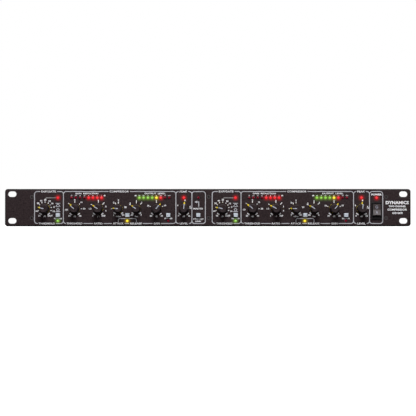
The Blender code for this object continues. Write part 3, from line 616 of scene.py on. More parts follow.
def panel_mesh():
    slab = rounded_slab(-PANEL_DROP, *PANEL_HALF, 3.2 * MM, PANEL_THICK, PANEL_EDGE)
    holes = bmesh.new()
    for outline in panel_openings():
        prism(holes, outline, (-PANEL_THICK - 1 * MM, 1 * MM))
    sink = lathe([(0, 1), (2.55, 1), (2.55, -0.3), (1.9, -1.2), (1.9, -4), (0, -4)], 32)
    places = [panel_place(f"panel_screw_{i + 1}") for i in range(6)]
    sinks = repeated(finished(sink, "sink"), places)
    return combined(finished(slab, "faceplate"), ("DIFFERENCE", holes), ("DIFFERENCE", sinks))


def front_panel():
    """The panel, with painted shade on its rounded rim: the rim takes a darker copy of the paint
    than the face.
    """
    mesh = panel_mesh()
    for material in (PANEL_PAINT, RIM_SHADE_PAINT):
        mesh.materials.append(material)
    # Faces on the outer part of the rounded rim take the painted shade.
    for face in mesh.polygons:
        out = math.dist((0, 0), (max(0, abs(face.center.x) - PANEL_HALF[0] + PANEL_EDGE[0]),
                                 max(0, abs(face.center.y) - PANEL_HALF[1] + PANEL_EDGE[0])))
        if out > PANEL_EDGE[0] - RIM_SHADE_WIDTH:
            face.material_index = 1
    fixed("faceplate", mesh, None, "panel_paint", (0, 0), ["front_panel"])


def screw_mesh():
    """A countersunk screw with a hexagon socket, its head just under the panel's face."""
    profile = [(0, -0.12), (2.2, -0.12), (2.33, -0.22), (2.35, -0.4), (1.5, -1.3),
               (1.4, -7.4), (1.1, -7.9), (0, -7.9)]
    socket = new_rod(1.35 * MM, (-3.2 * MM, 1 * MM), 6)
    return combined(finished(lathe(profile, 40), "screw"), ("DIFFERENCE", socket))


def panel_screws():
    mesh = screw_mesh()
    for i in range(6):
        node_name = f"panel_screw_{i + 1}"
        fixed(f"socket_screw_{i + 1}", mesh, SCREW_STEEL, "black_steel",
              (*panel_place(node_name), 0, i * 0.4), [node_name])


# Lamps


def lamp_mesh(places):
    """Round-nosed lamps, with each point's nearness to its lamp's nose kept as heart."""
    profile = [(0, LAMP_NOSE), (0.5, 1.8), (0.95, 1.52), (1.28, 1.08), (1.46, 0.5), (1.5, 0.0),
               (1.5, -3.6), (1.75, -3.6), (1.75, -4.6), (0, -4.6)]
    single = finished(lathe(profile, 24), "lamp")
    mesh = finished(repeated(single, [(u * MM, v * MM) for u, v in places]), "lamps")
    heart = mesh.attributes.new("heart", "FLOAT", "POINT")
    for vert in mesh.vertices:
        heart.data[vert.index].value = max(0.0, vert.co.z / (LAMP_NOSE * MM)) ** 1.5
    return mesh


def lamps():
    films = {}
    for name, kind, places in lamp_groups():
        fixed(name, lamp_mesh(places), LENSES[kind], LAMP_SLOTS[kind], (0, 0))
        if kind in LAMP_LIGHT:
            first, *_, last = name.split("_")
            films.setdefault(f"{first}_{last}", []).extend(
                (u, v, LAMP_LIGHT[kind]) for u, v in places)
    # Films on the panel that glow with the painted lamp light.
    for name, lit in films.items():
        fixed(f"{name}_light_on_panel", spill_mesh(lit), LIT_PANEL_PAINT, "panel_paint", (0, 0))


SPILL_FROM = 1.4
SPILL_REACH = 5.6
SPILL_STEP = 0.4
SPILL_FALL = 2.35
SPILL_H = 0.03


def spill_mesh(lit):
    """A film on the panel round (u, v, light) lamps. Its glow is painted light: emission that
    stands in for the lamps' light falling on the panel.
    """
    us, vs, _ = zip(*lit)
    columns = round((max(us) - min(us) + 2 * SPILL_REACH) / SPILL_STEP)
    rows = round((max(vs) - min(vs) + 2 * SPILL_REACH) / SPILL_STEP)
    bm = bmesh.new()
    grid = [[bm.verts.new((min(us) - SPILL_REACH + i * SPILL_STEP,
                           min(vs) - SPILL_REACH + j * SPILL_STEP, SPILL_H))
             for i in range(columns + 1)] for j in range(rows + 1)]

    def nearest(co):
        return min(math.hypot(co.x - u, co.y - v) for u, v, _ in lit)
    for row, above in zip(grid, grid[1:]):
        for i in range(columns):
            corners = (row[i], row[i + 1], above[i + 1], above[i])
            if SPILL_FROM < min(nearest(c.co) for c in corners) < SPILL_REACH - SPILL_STEP:
                bm.faces.new(corners)
    bmesh.ops.delete(bm, geom=[v for v in bm.verts if not v.link_faces], context="VERTS")
    bm.verts.index_update()
    glow = []
    for vert in bm.verts:
        near = [math.exp(-(math.hypot(vert.co.x - u, vert.co.y - v) / SPILL_FALL) ** 1.7)
                for u, v, _ in lit]
        edge = max(0.0, 1 - (nearest(vert.co) / SPILL_REACH) ** 3)
        glow += [edge * math.hypot(*(n * light[k] for n, (*_, light) in zip(near, lit)))
                 for k in range(3)]
    bmesh.ops.scale(bm, vec=(MM, MM, MM), verts=bm.verts)
    mesh = filled(bm, "spill")
    mesh.attributes.new("glow", "FLOAT_VECTOR", "POINT").data.foreach_set("vector", glow)
    return mesh


# Knobs

CAP_PROFILE = [(0, 12.5), (1.6, 12.54), (2.9, 12.66), (3.8, 12.84), (4.12, 12.88),
               (4.36, 12.74), (4.48, 12.45), (4.53, 12.1), (4.75, 9.8, 0.6), (5.1, 6.8, 1.0),
               (5.5, 3.4, 1.0), (5.72, 2.3, 0.6), (5.82, 1.95), (5.78, 1.66), (3.35, 1.66),
               (3.35, 9.5), (0, 9.5)]
FACE_RADIUS = 4.35 * MM
LINE_PATH = [(-0.2, 12.5), (0.5, 12.5), (1.6, 12.54), (2.9, 12.66), (3.8, 12.84),
             (4.12, 12.88), (4.36, 12.74), (4.48, 12.45), (4.53, 12.1), (4.75, 9.8),
             (5.1, 6.8)]
LINE_HALF_WIDTH = 0.44
POINTER_H = (0.6 * MM, 1.55 * MM)


def cap_mesh(size):
    profile = [(r * size * MM, h * MM, *share) for r, h, *share in CAP_PROFILE]
    mesh = finished(turned(profile, 72, 24, 0.22 * MM), "knob_cap", 30)
    for material in (KNOB_PLASTIC, SKIRT_SHADE_PLASTIC):
        mesh.materials.append(material)
    # The cap's face takes the knob plastic, and its flank takes the darker copy as painted shade.
    for polygon in mesh.polygons:
        on_face = polygon.normal.z > 0.5 and polygon.center.xy.length < FACE_RADIUS * size
        polygon.material_index = 0 if on_face else 1
    return mesh


def line_mesh(size):
    """The indicator: a strip that follows the cap's top and wraps over its edge."""
    bm = bmesh.new()
    rows = []
    for v, h in LINE_PATH:
        rows.append([bm.verts.new((side * LINE_HALF_WIDTH * MM, v * size * MM, h * MM))
                     for side in (-1, 1)])
    for near, far in zip(rows, rows[1:]):
        bm.faces.new((near[0], near[1], far[1], far[0]))
    strip = linked("strip", finished(bm, "indicator"))
    thicken = strip.modifiers.new("thickness", "SOLIDIFY")
    thicken.thickness = 0.22 * MM
    thicken.offset = -0.5
    return smoothed(evaluated_mesh(strip), EDGE_ANGLE)


PLATE_RADIUS = 5.82
ARROW_TIP = 8.5
ARROW_TURN = math.radians(10.5)


def pointer_mesh(size):
    """The thin plate under a knob: a disc with one arrow drawn out of it."""
    corners = [(0, ARROW_TIP)]
    steps = 36
    for i in range(steps + 1):
        turn = ARROW_TURN + i / steps * (2 * math.pi - 2 * ARROW_TURN)
        corners.append((PLATE_RADIUS * math.sin(turn), PLATE_RADIUS * math.cos(turn)))
    edge = [(u * size * MM, v * size * MM) for u, v in corners]
    bm = plate([edge, circle(0, 0, 3.4 * MM * size, 32)], POINTER_H)
    return bevelled(finished(bm, "pointer"), 0.12 * MM)


def knobs():
    travel = {joint["child"]: joint["range_deg"] for joint in frame["joints"]
              if joint["type"] == "hinge"}
    kinds = {size: (cap_mesh(size), line_mesh(size), pointer_mesh(size))
             for size in (1.0, SMALL_KNOB)}
    for name in names_after("knob_"):
        size = knob_size(name)
        cap, line, pointer = kinds[size]
        body = f"{name}_control"
        angle = -math.radians(sum(travel[body]) / 2)
        place = (centre(f"shaft_{name}").x, KNOB_V, 0, angle)
        piece(f"knob_cap_{name}", cap, KNOB_PLASTIC, body, "knob_plastic", place,
              [f"knob_{name}"])
        piece(f"indicator_{name}", line, LINE_WHITE, body, "print_white", place)
        piece(f"pointer_{name}", pointer, POINTER_YELLOW, body, "pointer_yellow", place)


# Buttons


def cross_cuts(half_width, reach, h):
    """The two steps that cut an upright cross between the pair h."""
    return (("DIFFERENCE", block(about(0, half_width), about(0, reach[1]), h)),
            ("DIFFERENCE", block(about(0, reach[0]), about(0, half_width), h)))


def button_mesh():
    """A square cap with softened edges and a shallow cross in its face, on its stem."""
    half_u, half_v = half_size("button_stereo_link")
    out, back = 3.58 * MM, -4.0 * MM
    cap = bevelled(finished(block(about(0, half_u), about(0, half_v), (back, out)), "button"),
                   0.4 * MM, 4)
    stem = block(about(0, 1.45 * MM), about(0, 1.45 * MM), (-8.75 * MM, back + 0.5 * MM))
    cross = cross_cuts(0.24 * MM, (half_u + MM, half_v + MM), (out - 0.4 * MM, out + MM))
    return combined(cap, *cross, ("UNION", stem))


def buttons():
    mesh = button_mesh()
    for name in names_after("button_"):
        piece(f"button_cap_{name}", mesh, BUTTON_PLASTIC, f"{name}_button", "button_plastic",
              panel_place(f"button_{name}"), [f"button_{name}"])


# Print on the panel

INK_H = 0.06 * MM
INK_THICK = 0.04 * MM
FRAME_TOP = 19.0
FRAME_LINE = 0.92
FRAME_CORNER = 3.1


class Ink:
    """Flat shapes on the panel, in millimetres, that become one piece of print."""

    def __init__(self, name, material):
        self.name = name
        self.material = material
        self.bm = bmesh.new()

    def face(self, points):
        verts = [self.bm.verts.new((u, v, 0)) for u, v in points]
        made = self.bm.faces.new(verts)
        made.normal_update()
        if made.normal.z < 0:
            made.normal_flip()

    def band(self, one_side, other_side):
        """Faces between two rows of points."""
        pairs = list(zip(one_side, other_side))
        for (a, b), (c, d) in zip(pairs, pairs[1:]):
            corners = list(dict.fromkeys((a, c, d, b)))
            if len(corners) > 2:
                self.face(corners)

    def block(self, u, v):
        self.face([(u[0], v[0]), (u[1], v[0]), (u[1], v[1]), (u[0], v[1])])

    def stroke(self, points, width):
        """A line with mitred corners."""
        points = [Vector(p) for p in points]
        left, right = [], []
        for i, point in enumerate(points):
            ahead = points[min(i + 1, len(points) - 1)]
            behind = points[max(i - 1, 0)]
            steps = [(b - a).normalized() for a, b in ((behind, point), (point, ahead))
                     if (b - a).length > 0]
            along = sum(steps, Vector((0, 0))).normalized()
            reach = width / 2 / along.dot(steps[0])
            side = Vector((-along.y, along.x)) * reach
            left.append(tuple(point + side))
            right.append(tuple(point - side))
        self.band(left, right)

    def ring(self, u, v, radii, inner_radii, sides=32):
        def oval(size):
            return [(u + size[0] * math.cos(2 * math.pi * i / sides),
                     v + size[1] * math.sin(2 * math.pi * i / sides))
                    for i in range(sides + 1)]
        self.band(oval(inner_radii), oval(radii))

    def text(self, words, u, v, height, width=None, bold=0.02):
        """Lettering centred on (u, v), stretched to the width if one is given."""
        curve = bpy.data.curves.new("words", "FONT")
        curve.body = words
        curve.resolution_u = 2
        curve.offset = bold
        mesh = evaluated_mesh(linked("words", curve))
        us = [vert.co.x for vert in mesh.vertices]
        vs = [vert.co.y for vert in mesh.vertices]
        tall = height / (max(vs) - min(vs))
        wide = width / (max(us) - min(us)) if width else tall * 1.12
        middle = Vector(((max(us) + min(us)) / 2, (max(vs) + min(vs)) / 2, 0))
        mesh.transform(Matrix.Translation((u, v, 0)) @ Matrix.Diagonal((wide, tall, 1, 1))
                       @ Matrix.Translation(-middle))
        self.bm.from_mesh(mesh)
        bpy.data.meshes.remove(mesh)

    def print_on(self, place, body=CHASSIS):
        """Makes the piece, with its own thickness, and places it."""
        bmesh.ops.scale(self.bm, vec=(MM, MM, MM), verts=self.bm.verts)
        bmesh.ops.remove_doubles(self.bm, verts=self.bm.verts, dist=0.0000005)
        flat = linked("flat", filled(self.bm, self.name))
        thicken = flat.modifiers.new("thickness", "SOLIDIFY")
        thicken.thickness = INK_THICK
        thicken.offset = -1
        made = evaluated_mesh(flat)
        made.shade_flat()
        return piece(self.name, made, self.material, body, "print_white", place)


ON_PANEL = (0, 0, INK_H)

# (left, right) of each frame from its channel's left edge
FRAMES = {"gate": (0.3, 34.6), "compressor": (34.6, 168.35), "peak": (168.35, 187.4)}
LAST_FRAME = {"a": (187.4, 203.4), "b": (187.4, 203.1)}
# (words, centre, width) on the frames' top and bottom lines
TOP_WORDS = (("EXP/GATE", 17.0, 17.6), ("COMPRESSOR", 101.0, 22.9), ("PEAK", 177.4, 8.9))
BOTTOM_WORDS = (("THRESHOLD", 14.8, 19.2), ("THRESHOLD", 47.9, 18.8), ("RATIO", 76.2, 10.0),
                ("ATTACK", 99.9, 12.5), ("RELEASE", 121.0, 13.7), ("GAIN", 145.5, 7.3),
                ("LEVEL", 177.8, 9.7))
WORD_MARGIN = 1.3


def frame_corner(ink, u, v, su, sv, limits):
    """A quarter ring. limits are the least and most u, where a neighbour's line begins."""
    def arc(radius):
        steps = 8
        for k in range(steps + 1):
            turn = k / steps * math.pi / 2
            across = u + su * radius * math.sin(turn)
            yield min(max(across, limits[0]), limits[1]), v + sv * radius * math.cos(turn)
    half = FRAME_LINE / 2
    ink.band(list(arc(FRAME_CORNER - half)), list(arc(FRAME_CORNER + half)))


def printed_frame(ink, left, right, words_above, words_below, shared):
    """A frame's lines, with gaps for its words. A shared side is half as wide."""
    half = FRAME_LINE / 2
    limits = (left if shared[0] else left - half, right if shared[1] else right + half)
    near, far = left + FRAME_CORNER, right - FRAME_CORNER
    bend = FRAME_TOP - FRAME_CORNER
    for su, u in ((-1, near), (1, far)):
        for sv in (-1, 1):
            frame_corner(ink, u, sv * bend, su, sv, limits)
    ink.block((limits[0], left + half), (-bend, bend))
    ink.block((right - half, limits[1]), (-bend, bend))
    for sv, words in ((1, words_above), (-1, words_below)):
        cuts = [near]
        for _, middle, width in sorted(words, key=lambda word: word[1]):
            if left < middle < right:
                cuts += [middle - width / 2 - WORD_MARGIN, middle + width / 2 + WORD_MARGIN]
        cuts.append(far)
        for start, end in zip(cuts[::2], cuts[1::2]):
            if end > start:
                ink.block((start, end), about(sv * FRAME_TOP, half))


def printed_frames():
    ink = Ink("printed_frames", PRINT)
    for channel, start in CHANNEL_U.items():
        above = [(w, start + at, width) for w, at, width in TOP_WORDS]
        below = [(w, start + at, width) for w, at, width in BOTTOM_WORDS]
        frames = [*FRAMES.values(), LAST_FRAME[channel]]
        for i, (left, right) in enumerate(frames):
            printed_frame(ink, start + left, start + right, above, below,
                          (i > 0, i < len(frames) - 1))
    ink.print_on(ON_PANEL)


REDUCTION_NUMBERS = ("30", "20", "15", "10", "6", "4", "2", "1")
OUTPUT_NUMBERS = ("24", "18", "12", "6", "0", "+3", "+9", "+16")


# (words, u, v, height, width, boldness) of what else is printed on each channel
CHANNEL_WORDS = (("GAIN  REDUCTION", 62.3, 16.7, 1.8, 27.4, 0.03),
                 ("OUTPUT  LEVEL", 143.5, 16.7, 1.8, 25.0, 0.03),
                 ("dB", 83.5, 14.2, 1.4, 2.6, 0.05), ("dB", 120.4, 14.2, 1.4, 2.6, 0.05),
                 ("RELEASE", 28.2, -13.1, 1.55, 9.4, 0.04),
                 ("BYPASS", 159.4, -13.1, 1.55, 9.2, 0.04))


def printed_words():
    ink = Ink("printed_words", PRINT_BRIGHT)
    for channel, start in CHANNEL_U.items():
        for sv, words in ((1, TOP_WORDS), (-1, BOTTOM_WORDS)):
            for text, middle, width in words:
                ink.text(text, start + middle, sv * FRAME_TOP, 2.15, width, 0.02)
        for first, numbers in ((REDUCTION_FIRST, REDUCTION_NUMBERS),
                               (OUTPUT_FIRST, OUTPUT_NUMBERS)):
            for i, number in enumerate(numbers):
                ink.text(number, start + first + i * LED_PITCH, 14.2, 1.25)
        for text, u, *rest in CHANNEL_WORDS:
            ink.text(text, start + u, *rest)
    ink.text("MASTER", LINK_U, -1.4, 1.9, 11.6, 0.03)
    ink.text("STEREO", LINK_U, -13.7, 1.7, 12.4, 0.03)
    ink.text("LINK", LINK_U, -16.4, 1.7, 7.4, 0.03)
    ink.text("POWER", POWER_U, 15.4, 2.3, 12.4, 0.045)
    ink.print_on(ON_PANEL)


EAR_U = 225.3


def ear_title():
    """Plain words on the right ear that say what the unit is."""
    ink = Ink("ear_title", PRINT_BRIGHT)
    for words, v, height, width in (("DYNAMICS", 5.8, 3.9, 27.5), ("TWO CHANNEL", 1.4, 2.2, 20.5),
                                    ("COMPRESSOR", -2.5, 2.4, 23.4), ("AND GATE", -6.6, 2.4, 12.6)):
        ink.text(words, EAR_U, v, height, width, 0.04)
    ink.print_on(ON_PANEL)


# Each scale: ticks as (angle, inner radius, outer radius), figures as (text, angle, radius),
# then the figures at its two ends, and its unit
SHORT, LONG = (7.2, 8.5), (6.9, 10.4)
SCALES = {
    "gate_threshold": (
        [(a, *SHORT) for a in (-107, -78, -51, -25, 3, 33, 56, 80, 106)],
        [("60", -107, 9.9), ("50", -51, 10.3), ("40", -25, 10.4), ("30", 3, 10.5),
         ("20", 33, 10.7), ("10", 56, 11.0), ("0", 80, 11.3), ("10", 106, 11.2)],
        ("70", "OUT"), "dB"),
    "threshold": (
        [(-49, 8.8, 10.3), (0, 7.2, 9.0), (45, *SHORT), (90, *SHORT)],
        [("-20", -96, 10.1), ("0", 0, 10.4), ("10", 46, 11.0), ("20", 90, 11.2)],
        ("30", "30"), "dB"),
    "ratio": (
        [(-58, 9.0, 10.4), (0, *LONG), (45, 7.2, 10.4)],
        [("1.2", -90, 9.6), ("3", 74, 9.3), ("6", 104, 9.3)],
        ("1", "INF"), ": 1"),
    "attack": (
        [(-90, 7.4, 8.7), (-29, 6.2, 8.4), (0, 6.2, 8.4)],
        [("2", -38, 9.1), ("5", 0, 10.0), ("20", 78, 8.6)],
        ("1", "50"), "mSec"),
    "release": (
        [(-58, 8.0, 9.8), (0, 6.2, 10.0), (42, 6.9, 8.9)],
        [(".2", -50, 9.9), ("1", 42, 9.6)],
        (".05", "5"), "Sec"),
    "gain": (
        [(-70, 7.2, 8.4), (0, *LONG), (70, 7.2, 8.4)],
        [("10", -70, 10.4), ("10", 70, 11.0)],
        ("20", "20"), "dB"),
    "peak_level": (
        [(70, 7.2, 8.6)],
        [("4", -62, 8.3), ("8", 8, 10.0), ("12", 84, 7.9)],
        ("0", "16"), "dB"),
}
SCALE_END = 142.7


def on_circle(u, radius, angle):
    turn = math.radians(angle)
    return u + radius * math.sin(turn), KNOB_V / MM + radius * math.cos(turn)


def printed_scales():
    ticks = Ink("printed_ticks", PRINT_BRIGHT)
    figures = Ink("printed_figures", PRINT_BRIGHT)
    for name in names_after("knob_"):
        marks, numbers, ends, unit = SCALES[name[:-2]]
        u = centre(f"shaft_{name}").x / MM
        size = knob_size(name)
        for angle, inner, outer in marks:
            ticks.stroke([on_circle(u, r, angle) for r in (inner, outer)], 0.85)
        for side, text in zip((-1, 1), ends):
            bar = [on_circle(u, 8.0 * size, side * SCALE_END + lean)
                   for lean in (-11.5, 11.5)]
            ticks.stroke(bar, 1.4)
            figures.text(text, u + side * 6.4 * size, KNOB_V / MM - 8.5 * size, 2.0, bold=0.04)
        for text, angle, radius in numbers:
            figures.text(text, *on_circle(u, radius, angle), 1.95, bold=0.04)
        figures.text(unit, u, KNOB_V / MM - 9.1, 1.9, bold=0.04)
    ticks.print_on(ON_PANEL)
    figures.print_on(ON_PANEL)


def printed_symbols():
    """The thin lines to the lamps, the two gate speed marks and the link arrow."""
    dim = Ink("printed_thin_lines", PRINT_DIM)
    marks = Ink("printed_symbols", PRINT)
    for start in CHANNEL_U.values():
        dim.stroke([(start + 25.6, 11.5), (start + 14.6, 11.5), (start + 12.6, 10.0)], 1.0)
        marks.stroke([(start + 99.9, -17.2), (start + 99.9, -14.4), (start + 101.2, -13.1),
                      (start + 120.1, -13.1), (start + 121.4, -14.4),
                      (start + 121.4, -17.2)], 0.8)
        gate = start + 28.1
        marks.stroke([(gate - 2.8, 5.0), (gate + 2.8, 5.0)], 0.7)
        for side in (-1, 1):
            marks.stroke([(gate + side * 2.6, 0.9), (gate + side * 0.2, 4.6)], 0.7)
        marks.block(about(gate, 1.5), (0.6, 1.3))
        marks.ring(gate, -2.7, (1.9, 1.7), (1.2, 1.0))
        marks.block(about(gate, 2.8), (-5.4, -4.6))
    marks.stroke([(LINK_U - 1.2, 6.6), (LINK_U + 0.5, 6.6), (LINK_U + 0.5, 1.0)], 1.1)
    marks.face([(LINK_U - 4.5, 6.6), (LINK_U - 1.3, 5.0), (LINK_U - 1.3, 8.2)])
    dim.print_on(ON_PANEL)
    marks.print_on(ON_PANEL)


# Power switch

ROCKER_SLOPE = math.atan2(1.2, 6.6)


def power_switch():
    carried_over("power_switch_body", SWITCH_PLASTIC, 0.35 * MM)
    carried_over("power_rocker", ROCKER_PLASTIC, 0.25 * MM)
    tilt = next(j for j in frame["joints"] if j["name"] == "power_rocker_tilt")
    rest = (Matrix.Translation(tilt["pos_m"])
            @ Matrix.Rotation(-math.radians(sum(tilt["range_deg"]) / 2), 4, "X"))
    off = Ink("rocker_off_mark", SWITCH_MARK)
    off.ring(0, 0, (1.45, 1.75), (0.9, 1.2))
    on = Ink("rocker_on_mark", SWITCH_MARK)
    on.block(about(0, 0.35), about(0, 1.25))
    for ink, side in ((off, 1), (on, -1)):
        obj = ink.print_on(None, "power_rocker")
        lift = Matrix.Translation((0, -(3.6 + 0.07) * MM, side * 3.3 * MM))
        lean = Matrix.Rotation(side * ROCKER_SLOPE + math.pi / 2, 4, "X")
        obj.matrix_world = rest @ lift @ lean


def carried_over(name, material, edge=0.0, segments=2):
    """A CAD node that shows as it is, with its own finish and softened edges."""
    obj = frame["nodes"][name]
    obj.data.materials.clear()
    obj.data.materials.append(material)
    if edge:
        add_bevel(obj, edge, segments)
    return obj


# Boards behind the panel

BOARD_FRONT = 9.0 * MM
BOARD_THICK = 1.6 * MM


def control_boards():
    """Each channel's board, with the controls and the switch cases soldered to it."""
    for channel in CHANNEL_U:
        low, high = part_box(f"control_board_{channel}")
        at, half = (low + high) / 2, half_size(f"control_board_{channel}")
        deck = (behind(BOARD_FRONT + BOARD_THICK), behind(BOARD_FRONT))
        outline = list(rounded(at.x, at.z - MID_Z, *half, 1 * MM, 3))
        board = plate([outline], deck)
        knobs = [centre(f"shaft_{name}").x for name in names_after("knob_")
                 if name.endswith(channel)]
        mesh = finished(board, "board")
        wells = bmesh.new()
        for u in knobs:
            rod(wells, u, KNOB_V, 3.4 * MM, (deck[0] - MM, deck[1] + MM), 24)
        if channel == "b":
            at_switch = centre("power_switch_body")
            box(wells, (at_switch.x - 6.1 * MM, high.x + MM),
                (low.z - MID_Z - MM, at_switch.z - MID_Z + 9.3 * MM),
                (deck[0] - MM, deck[1] + MM))
        fixed(f"circuit_board_{channel}", combined(mesh, ("DIFFERENCE", wells)), SOLDER_MASK,
              "circuit_board", (0, 0), [f"control_board_{channel}"])
        controls(channel, knobs)
        switches(channel, deck)


def controls(channel, us):
    """Round metal cases with threaded bushes, open along the shafts."""
    back, front_of_case, bush_end = behind(8.9 * MM), behind(2.3 * MM), -0.45 * MM
    thread = [(4.25 if i % 2 else 4.05, bush_end / MM - 0.3 - i * 0.28) for i in range(16)]
    profile = [(3.4, bush_end / MM), (3.95, bush_end / MM)]
    profile += [(r, h) for r, h in thread if h > front_of_case / MM]
    profile += [(4.1, front_of_case / MM), (4.9, front_of_case / MM),
                (4.9, back / MM), (3.4, back / MM), (3.4, bush_end / MM)]
    single = finished(lathe(profile, 32), "control")
    bm = repeated(single, [(u, KNOB_V) for u in us])
    for u in us:
        box(bm, about(u, 4.0 * MM), (KNOB_V - 5.9 * MM, KNOB_V - 5.0 * MM), (back, behind(4 * MM)))
    fixed(f"controls_{channel}", finished(bm, "controls"), STEEL, "steel", (0, 0))


def switches(channel, deck):
    bm = bmesh.new()
    for name in names_after("button_"):
        at = centre(f"button_{name}")
        if (at.x < centre("panel_screw_3").x) != (channel == "a"):
            continue
        v = at.z - MID_Z
        h = (deck[1] + 0.1 * MM, behind(3.3 * MM))
        for side in (-1, 1):
            box(bm, (at.x + side * 1.95 * MM, at.x + side * 3.5 * MM), about(v, 3.5 * MM), h)
            box(bm, about(at.x, 1.9 * MM), (v + side * 1.95 * MM, v + side * 3.5 * MM), h)
    fixed(f"switch_cases_{channel}", finished(bm, "switches"), SWITCH_PLASTIC,
          "switch_plastic", (0, 0))


# Case

COVER_SHEET = 1.1 * MM
COVER_BEND = 1.6 * MM
VENT_STARTS = (66.5 * MM, 136.5 * MM)
VENTS_IN_GROUP = 9
VENT_PITCH = 7.5 * MM
VENT_WIDTH = 3.0 * MM
VENT_ENDS = (96.0 * MM, 140.0 * MM)
SIDE_SCREW_DEPTHS = (22 * MM, 100 * MM, 178 * MM)


def quarter(u, v, radius, start):
    for k in range(6):
        turn = start + k / 5 * math.pi / 2
        yield u + radius * math.cos(turn), v + radius * math.sin(turn)


def cover_mesh():
    """A sheet folded down at both sides, with round-ended vents over the transformer."""
    low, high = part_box("top_cover")
    half, top = high.x, high.z
    inside, under = half - COVER_SHEET, top - COVER_SHEET
    fold = COVER_BEND - COVER_SHEET
    section = [(half, low.z), *quarter(half - COVER_BEND, top - COVER_BEND, COVER_BEND, 0),
               *quarter(COVER_BEND - half, top - COVER_BEND, COVER_BEND, math.pi / 2),
               (-half, low.z), (-inside, low.z),
               *reversed(list(quarter(fold - inside, under - fold, fold, math.pi / 2))),
               *reversed(list(quarter(inside - fold, under - fold, fold, 0))),
               (inside, low.z)]
    sheet = bmesh.new()
    prism(sheet, section, (low.y, high.y))
    upright = Matrix(((1, 0, 0), (0, 0, 1), (0, 1, 0))).to_4x4()
    bmesh.ops.transform(sheet, matrix=upright, verts=sheet.verts)
    vents = bmesh.new()
    front_y, back_y = (behind_y(depth) for depth in VENT_ENDS)
    for first in VENT_STARTS:
        for i in range(VENTS_IN_GROUP):
            x = first + i * VENT_PITCH + VENT_WIDTH / 2
            prism(vents, list(rounded(x, (front_y + back_y) / 2, VENT_WIDTH / 2,
                                      (back_y - front_y) / 2, VENT_WIDTH / 2 - 0.01 * MM, 5)),
                  (under - MM, top + MM))
    return combined(finished(sheet, "cover"), ("DIFFERENCE", vents))


def cross_recess(head_top, reach):
    return cross_cuts(0.32 * MM, (reach, reach), (head_top - 0.8 * MM, head_top + MM))


def pan_screw(height):
    """A domed cross-head screw that stands on a surface at h = 0."""
    profile = [(0, 1.0), (1.1, 0.96), (2.0, 0.78), (2.6, 0.42), (2.75, 0.1), (2.75, 0.0)]
    bm = turned([*[(r * MM, h * height) for r, h in profile], (1.4 * MM, 0), (1.4 * MM, -3 * MM),
                 (0, -3 * MM)], 32)
    return combined(finished(bm, "pan_screw"), *cross_recess(height, 1.5 * MM))


def case_screws(name, height, places, place=None):
    fixed(name, finished(repeated(pan_screw(height), places), "screws"), BLACK_STEEL,
          "black_steel", place)


def case():
    carried_over("chassis_tray", CASE_PAINT, 0.3 * MM)
    carried_over("rear_panel", CASE_PAINT, 0.3 * MM)
    fixed("folded_cover", cover_mesh(), CASE_PAINT, "case_paint", None, ["top_cover"])
    low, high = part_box("top_cover")
    for side, name in ((-1, "left"), (1, "right")):
        places = [(behind_y(depth) * side, low.z + 4.2 * MM) for depth in SIDE_SCREW_DEPTHS]
        turn = (Matrix.Translation((side * high.x, 0, 0))
                @ Matrix.Rotation(side * math.pi / 2, 4, "Z")
                @ Matrix.Rotation(math.pi / 2, 4, "X"))
        case_screws(f"cover_screws_{name}", 1.0 * MM, places, turn)
    places = [(x * MM, behind_y(y * MM), high.z) for x in (-205, 0, 205) for y in (8, 192)]
    case_screws("cover_screws_top", 0.55 * MM, places)
    places = [(-x * MM, z * MM) for x, z in REAR_SCREWS]
    case_screws("rear_panel_screws", 1.3 * MM, places, on_rear(0, 0))


# Rear connectors. Depths are in from the flanges' face

REAR_SCREWS = ((-211, 6), (-211, 36), (-94, 6), (-94, 36), (60, 6), (60, 36), (211, 6), (211, 36))
XLR_BARREL = 11.7 * MM
XLR_CAVITY = {"input": 9.4, "output": 8.4}
XLR_CAVITY_DEPTH = 13.0
XLR_CORE = 7.2
POLES = ((3.8 * MM, 0), (-3.8 * MM, 0), (0, -3.8 * MM))
XLR_SCREWS = ((-9.5 * MM, 12.0 * MM), (9.5 * MM, -12.0 * MM))
BLADES = ((-7.0 * MM, -1.5 * MM), (7.0 * MM, -1.5 * MM), (0.0, 2.5 * MM))


def depth(millimetres):
    return FLANGE_OUT - millimetres * MM


def sunk_lathe(profile, sides):
    """The (radius, depth) profile in millimetres, turned."""
    return turned([(r * MM, depth(d)) for r, d in profile], sides)


def flange_plate(half, corner):
    bm = plate([list(rounded(0, 0, *half, corner, 6))], (0.05 * MM, FLANGE_OUT))
    return bevelled(finished(bm, "flange"), 0.35 * MM, 3)


